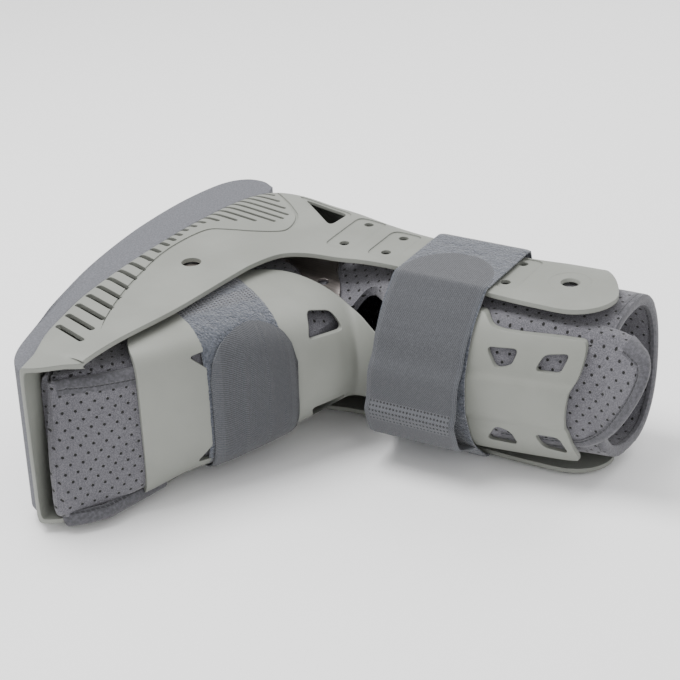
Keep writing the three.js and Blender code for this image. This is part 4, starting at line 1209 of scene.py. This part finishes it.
# Leg strap
LEG_STRAP_LOW = LEG_STRAP_UP - LEG_STRAP_WIDTH / 2
LEG_STRAP_HIGH = LEG_STRAP_UP + LEG_STRAP_WIDTH / 2


def strap_core():
    """Corner points of everything that the leg strap goes round, as (plan y, side)."""
    angles = turns(160)
    guard_half = max(abs(side) for _, side in SHIN_GUARD_FRONT) * HALF_WIDTH
    points = []
    for x in (LEG_STRAP_LOW, LEG_STRAP_UP, LEG_STRAP_HIGH):
        for side in (HALF_WIDTH, -HALF_WIDTH):
            points += [(-STRUT_BACK * LEG_DEPTH, side), (-STRUT_FRONT * LEG_DEPTH, side)]
        places = np.linspace(12, LAST, 120)
        sections = [Section(place) for place in places]
        front = np.interp(x, [s.front[0] for s in sections], places)
        back = np.interp(x, [s.back[0] for s in sections], places)
        shin = Section(front).ring({"grow": SHIN_STACK + GUARD_WALL, "ridge": 2}, angles)
        calf = Section(back).ring({}, angles)
        middle = -0.6 * LEG_DEPTH
        points += [(p[1], p[2]) for p in shin if p[1] < middle and abs(p[2]) <= guard_half]
        points += [(p[1], p[2]) for p in calf if p[1] >= middle]
    return hull(points)


def hull(points):
    points = sorted(set(points))

    def chain(listed):
        kept = []
        for point in listed:
            while len(kept) > 1:
                o, a = kept[-2], kept[-1]
                if (a[0] - o[0]) * (point[1] - o[1]) - (a[1] - o[1]) * (point[0] - o[0]) > 1e-9:
                    break
                kept.pop()
            kept.append(point)
        return kept[:-1]

    return np.array(chain(points) + chain(points[::-1]))


CORE = strap_core()


def core_support(angle, distance):
    outward = facing(angle)
    return CORE[np.argmax(CORE @ outward)] + outward * distance


def resample(line, spacing, closed=False):
    if closed:
        line = np.vstack([line, line[:1]])
    run = run_along(line)
    count = int(run[-1] / spacing)
    spots = np.linspace(0, run[-1], count, endpoint=not closed)
    return read_line(line, run, spots)


def make_leg_strap():
    around = np.array([core_support(angle, STRAP_EASE) for angle in turns(360)])
    line = resample(around, 2.6, closed=True)
    heights = np.linspace(LEG_STRAP_LOW, LEG_STRAP_HIGH, 26)
    grid = np.array([[(x, y, side) for x in heights] for y, side in line])
    band = sheet_solid("leg_strap", grid, STRAP_WALL, closed=True)
    displace(band, ripple(0.08, 0.5))
    return band


dress(make_leg_strap(), "leg_strap_band", LOOP, ["leg_strap"], 60)


def make_leg_tab():
    """The tab over the front of the leg strap, and how far along it turns under at its loose end."""
    base = STRAP_EASE + STRAP_WALL + GAP
    shares = np.linspace(0, 1, 80)
    line = []
    for t in shares:
        point = core_support(math.radians(TAB_START + TAB_TURN * t), base)
        bulge = np.interp(t, [0, 0.45, 0.6, 0.75, 0.9, 1], [0, 0, 0.2, 0.55, 0.95, 1])
        line.append(point - np.array([TAB_BULGE * bulge, 0]))
    outward = facing(math.radians(TAB_START + TAB_TURN))
    shoulder_top = line[-1]
    shoulder = shoulder_top + np.array([TAB_BULGE, 0])
    corner = np.array([-STRUT_FRONT * LEG_DEPTH, -HALF_WIDTH]) + outward * base
    end = shoulder + (corner - shoulder) * 0.4
    line = np.array([(-0.5 * LEG_DEPTH, line[0][1]), *line, end])
    line = resample(line, 2.0)
    loose = len(line) // 2
    for _ in range(6):
        line[loose:-1] = line[loose:-1] * 0.5 + (line[loose - 1:-2] + line[loose + 1:]) * 0.25
    half = LEG_STRAP_WIDTH / 2 - 1
    run = run_along(line)
    grid = []
    for (y, side), gone in zip(line, run):
        spread = half * math.sqrt(max(1 - max(1 - (gone + 0.8) / half, 0) ** 2, 0))
        flare = 1 + 0.02 * max((gone / run[-1] - 0.7) / 0.3, 0)
        heights = [LEG_STRAP_UP + share * spread * flare for share in np.linspace(-1, 1, 26)]
        grid.append([(x, y, side) for x in heights])
    tab = sheet_solid("leg_tab", np.array(grid)[:, ::-1], TAB_WALL)
    displace(tab, ripple(0.1, 0.05))
    return tab, float(run[-1] - np.linalg.norm(end - shoulder_top))


leg_tab, leg_tab_turn = make_leg_tab()
leg_patch = (leg_tab_turn - 29, leg_tab_turn - 14, -28, 28)
HOOK_LEG = hook_finish("leg_tab_webbing", LEG_STRAP_WIDTH / 2 - 1, leg_patch)
dress(leg_tab, "leg_strap_tab_band", HOOK_LEG, ["leg_strap_tab"], 60)

# Brackets and rivets
BRACKET_PROFILE = points_of([
    (0.42, 0.6), (0.6, 0.72), (0.72, 0.83), (0.86, 0.86), (0.84, 0.76), (0.78, 0.66), (0.72, 0.54),
    (0.56, 0.44),
])


def make_bracket(side):
    strip_skin = skin({"grow": GAP}, BRACKET_WALL, 6, 14, 0.15, 150)
    outline = smooth_closed(BRACKET_PROFILE, 8)
    low, high = (0, FULL) if side > 0 else (-FULL, 0)
    combine(strip_skin, prism(outline, low, high), "INTERSECT")
    return combine(strip_skin, prism(circle(plan(0.76, 0.765), 3.5, 32), low, high))


# The rivet's radius at shares of its height
RIVET_PROFILE = [(7.3, 0), (7.5, 0.12), (7.1, 0.4), (5.6, 0.7), (3.6, 0.92), (1.6, 1)]


def make_rivet(side):
    low = LINER_FOOT_HALF + STACK_STRAP + STRAP_WALL + GAP
    high = HALF_WIDTH - SHELL_WALL - GAP
    rows = [(radius, side * (low + (high - low) * share)) for radius, share in RIVET_PROFILE]
    return turned(RIVET, rows, 48)


for side, word in ((1, "upper"), (-1, "lower")):
    bracket, rivet = f"ankle_bracket_{word}", f"foot_rivet_{word}"
    dress(make_bracket(side), bracket + "_strip", METAL, [bracket], 30)
    dress(make_rivet(side), rivet + "_head", METAL, [rivet], 40)

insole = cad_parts["insole"]
insole.data.materials.clear()
insole.data.materials.append(PADDING)

# Stage: pale floor, soft light and the photo's camera. Its focal length is in pixels of the photo
FOCAL = 2000
PHOTO_WIDTH = 680
SENSOR = 36
CAMERA_DISTANCE = 1.316
CAMERA_ROLL = -2.5
floor_mesh = bpy.data.meshes.new("floor")
floor_mesh.from_pydata([(-4, -4, 0), (4, -4, 0), (4, 4, 0), (-4, 4, 0)], [], [(0, 1, 2, 3)])
floor = add("floor", floor_mesh)
floor_finish = Finish("floor_paint", 0.9)
floor_bump = floor_finish.bump(floor_finish.noise(3, 1), 0.00001)
floor_mesh.materials.append(floor_finish.done((0.94, 0.94, 0.94, 1), floor_bump))


def area_light(name, place, target, size, power):
    data = bpy.data.lights.new(name, "AREA")
    data.shape = "DISK"
    data.size = size
    data.energy = power
    lamp = add(name, data)
    lamp.location = place
    lamp.rotation_mode = "QUATERNION"
    lamp.rotation_quaternion = (Vector(target) - Vector(place)).to_track_quat("-Z", "Y")


area_light("key", (-0.5, -0.1, 1.4), (0, 0, 0.05), 0.9, 27)
area_light("fill", (1.1, -0.9, 0.7), (0, 0, 0.06), 1.0, 4)
area_light("back", (0.3, 1.2, 1.0), (0, 0, 0.05), 1.0, 9)
world = bpy.data.worlds.new("soft_world")
world.use_nodes = True
world.node_tree.nodes["Background"].inputs["Color"].default_value = (1, 1, 1, 1)
world.node_tree.nodes["Background"].inputs["Strength"].default_value = 1.0
bpy.context.scene.world = world

target = Vector(place_points([(128, -101, 0)])[0])
back = Vector((0.4589, -0.7637, 0.4540)).normalized()
right = Vector((0.8572, 0.5150, 0)).normalized()
up = back.cross(right)
roll = math.radians(CAMERA_ROLL)
rolled_right = right * math.cos(roll) + up * math.sin(roll)
rolled_up = up * math.cos(roll) - right * math.sin(roll)
camera_data = bpy.data.cameras.new("camera")
camera_data.sensor_width = SENSOR
camera_data.lens = FOCAL / PHOTO_WIDTH * SENSOR
camera_data.clip_end = 20
camera = add("camera", camera_data)
turn = Matrix((rolled_right, rolled_up, back)).transposed()
camera.matrix_world = Matrix.Translation(target + back * CAMERA_DISTANCE) @ turn.to_4x4()
bpy.context.scene.camera = camera
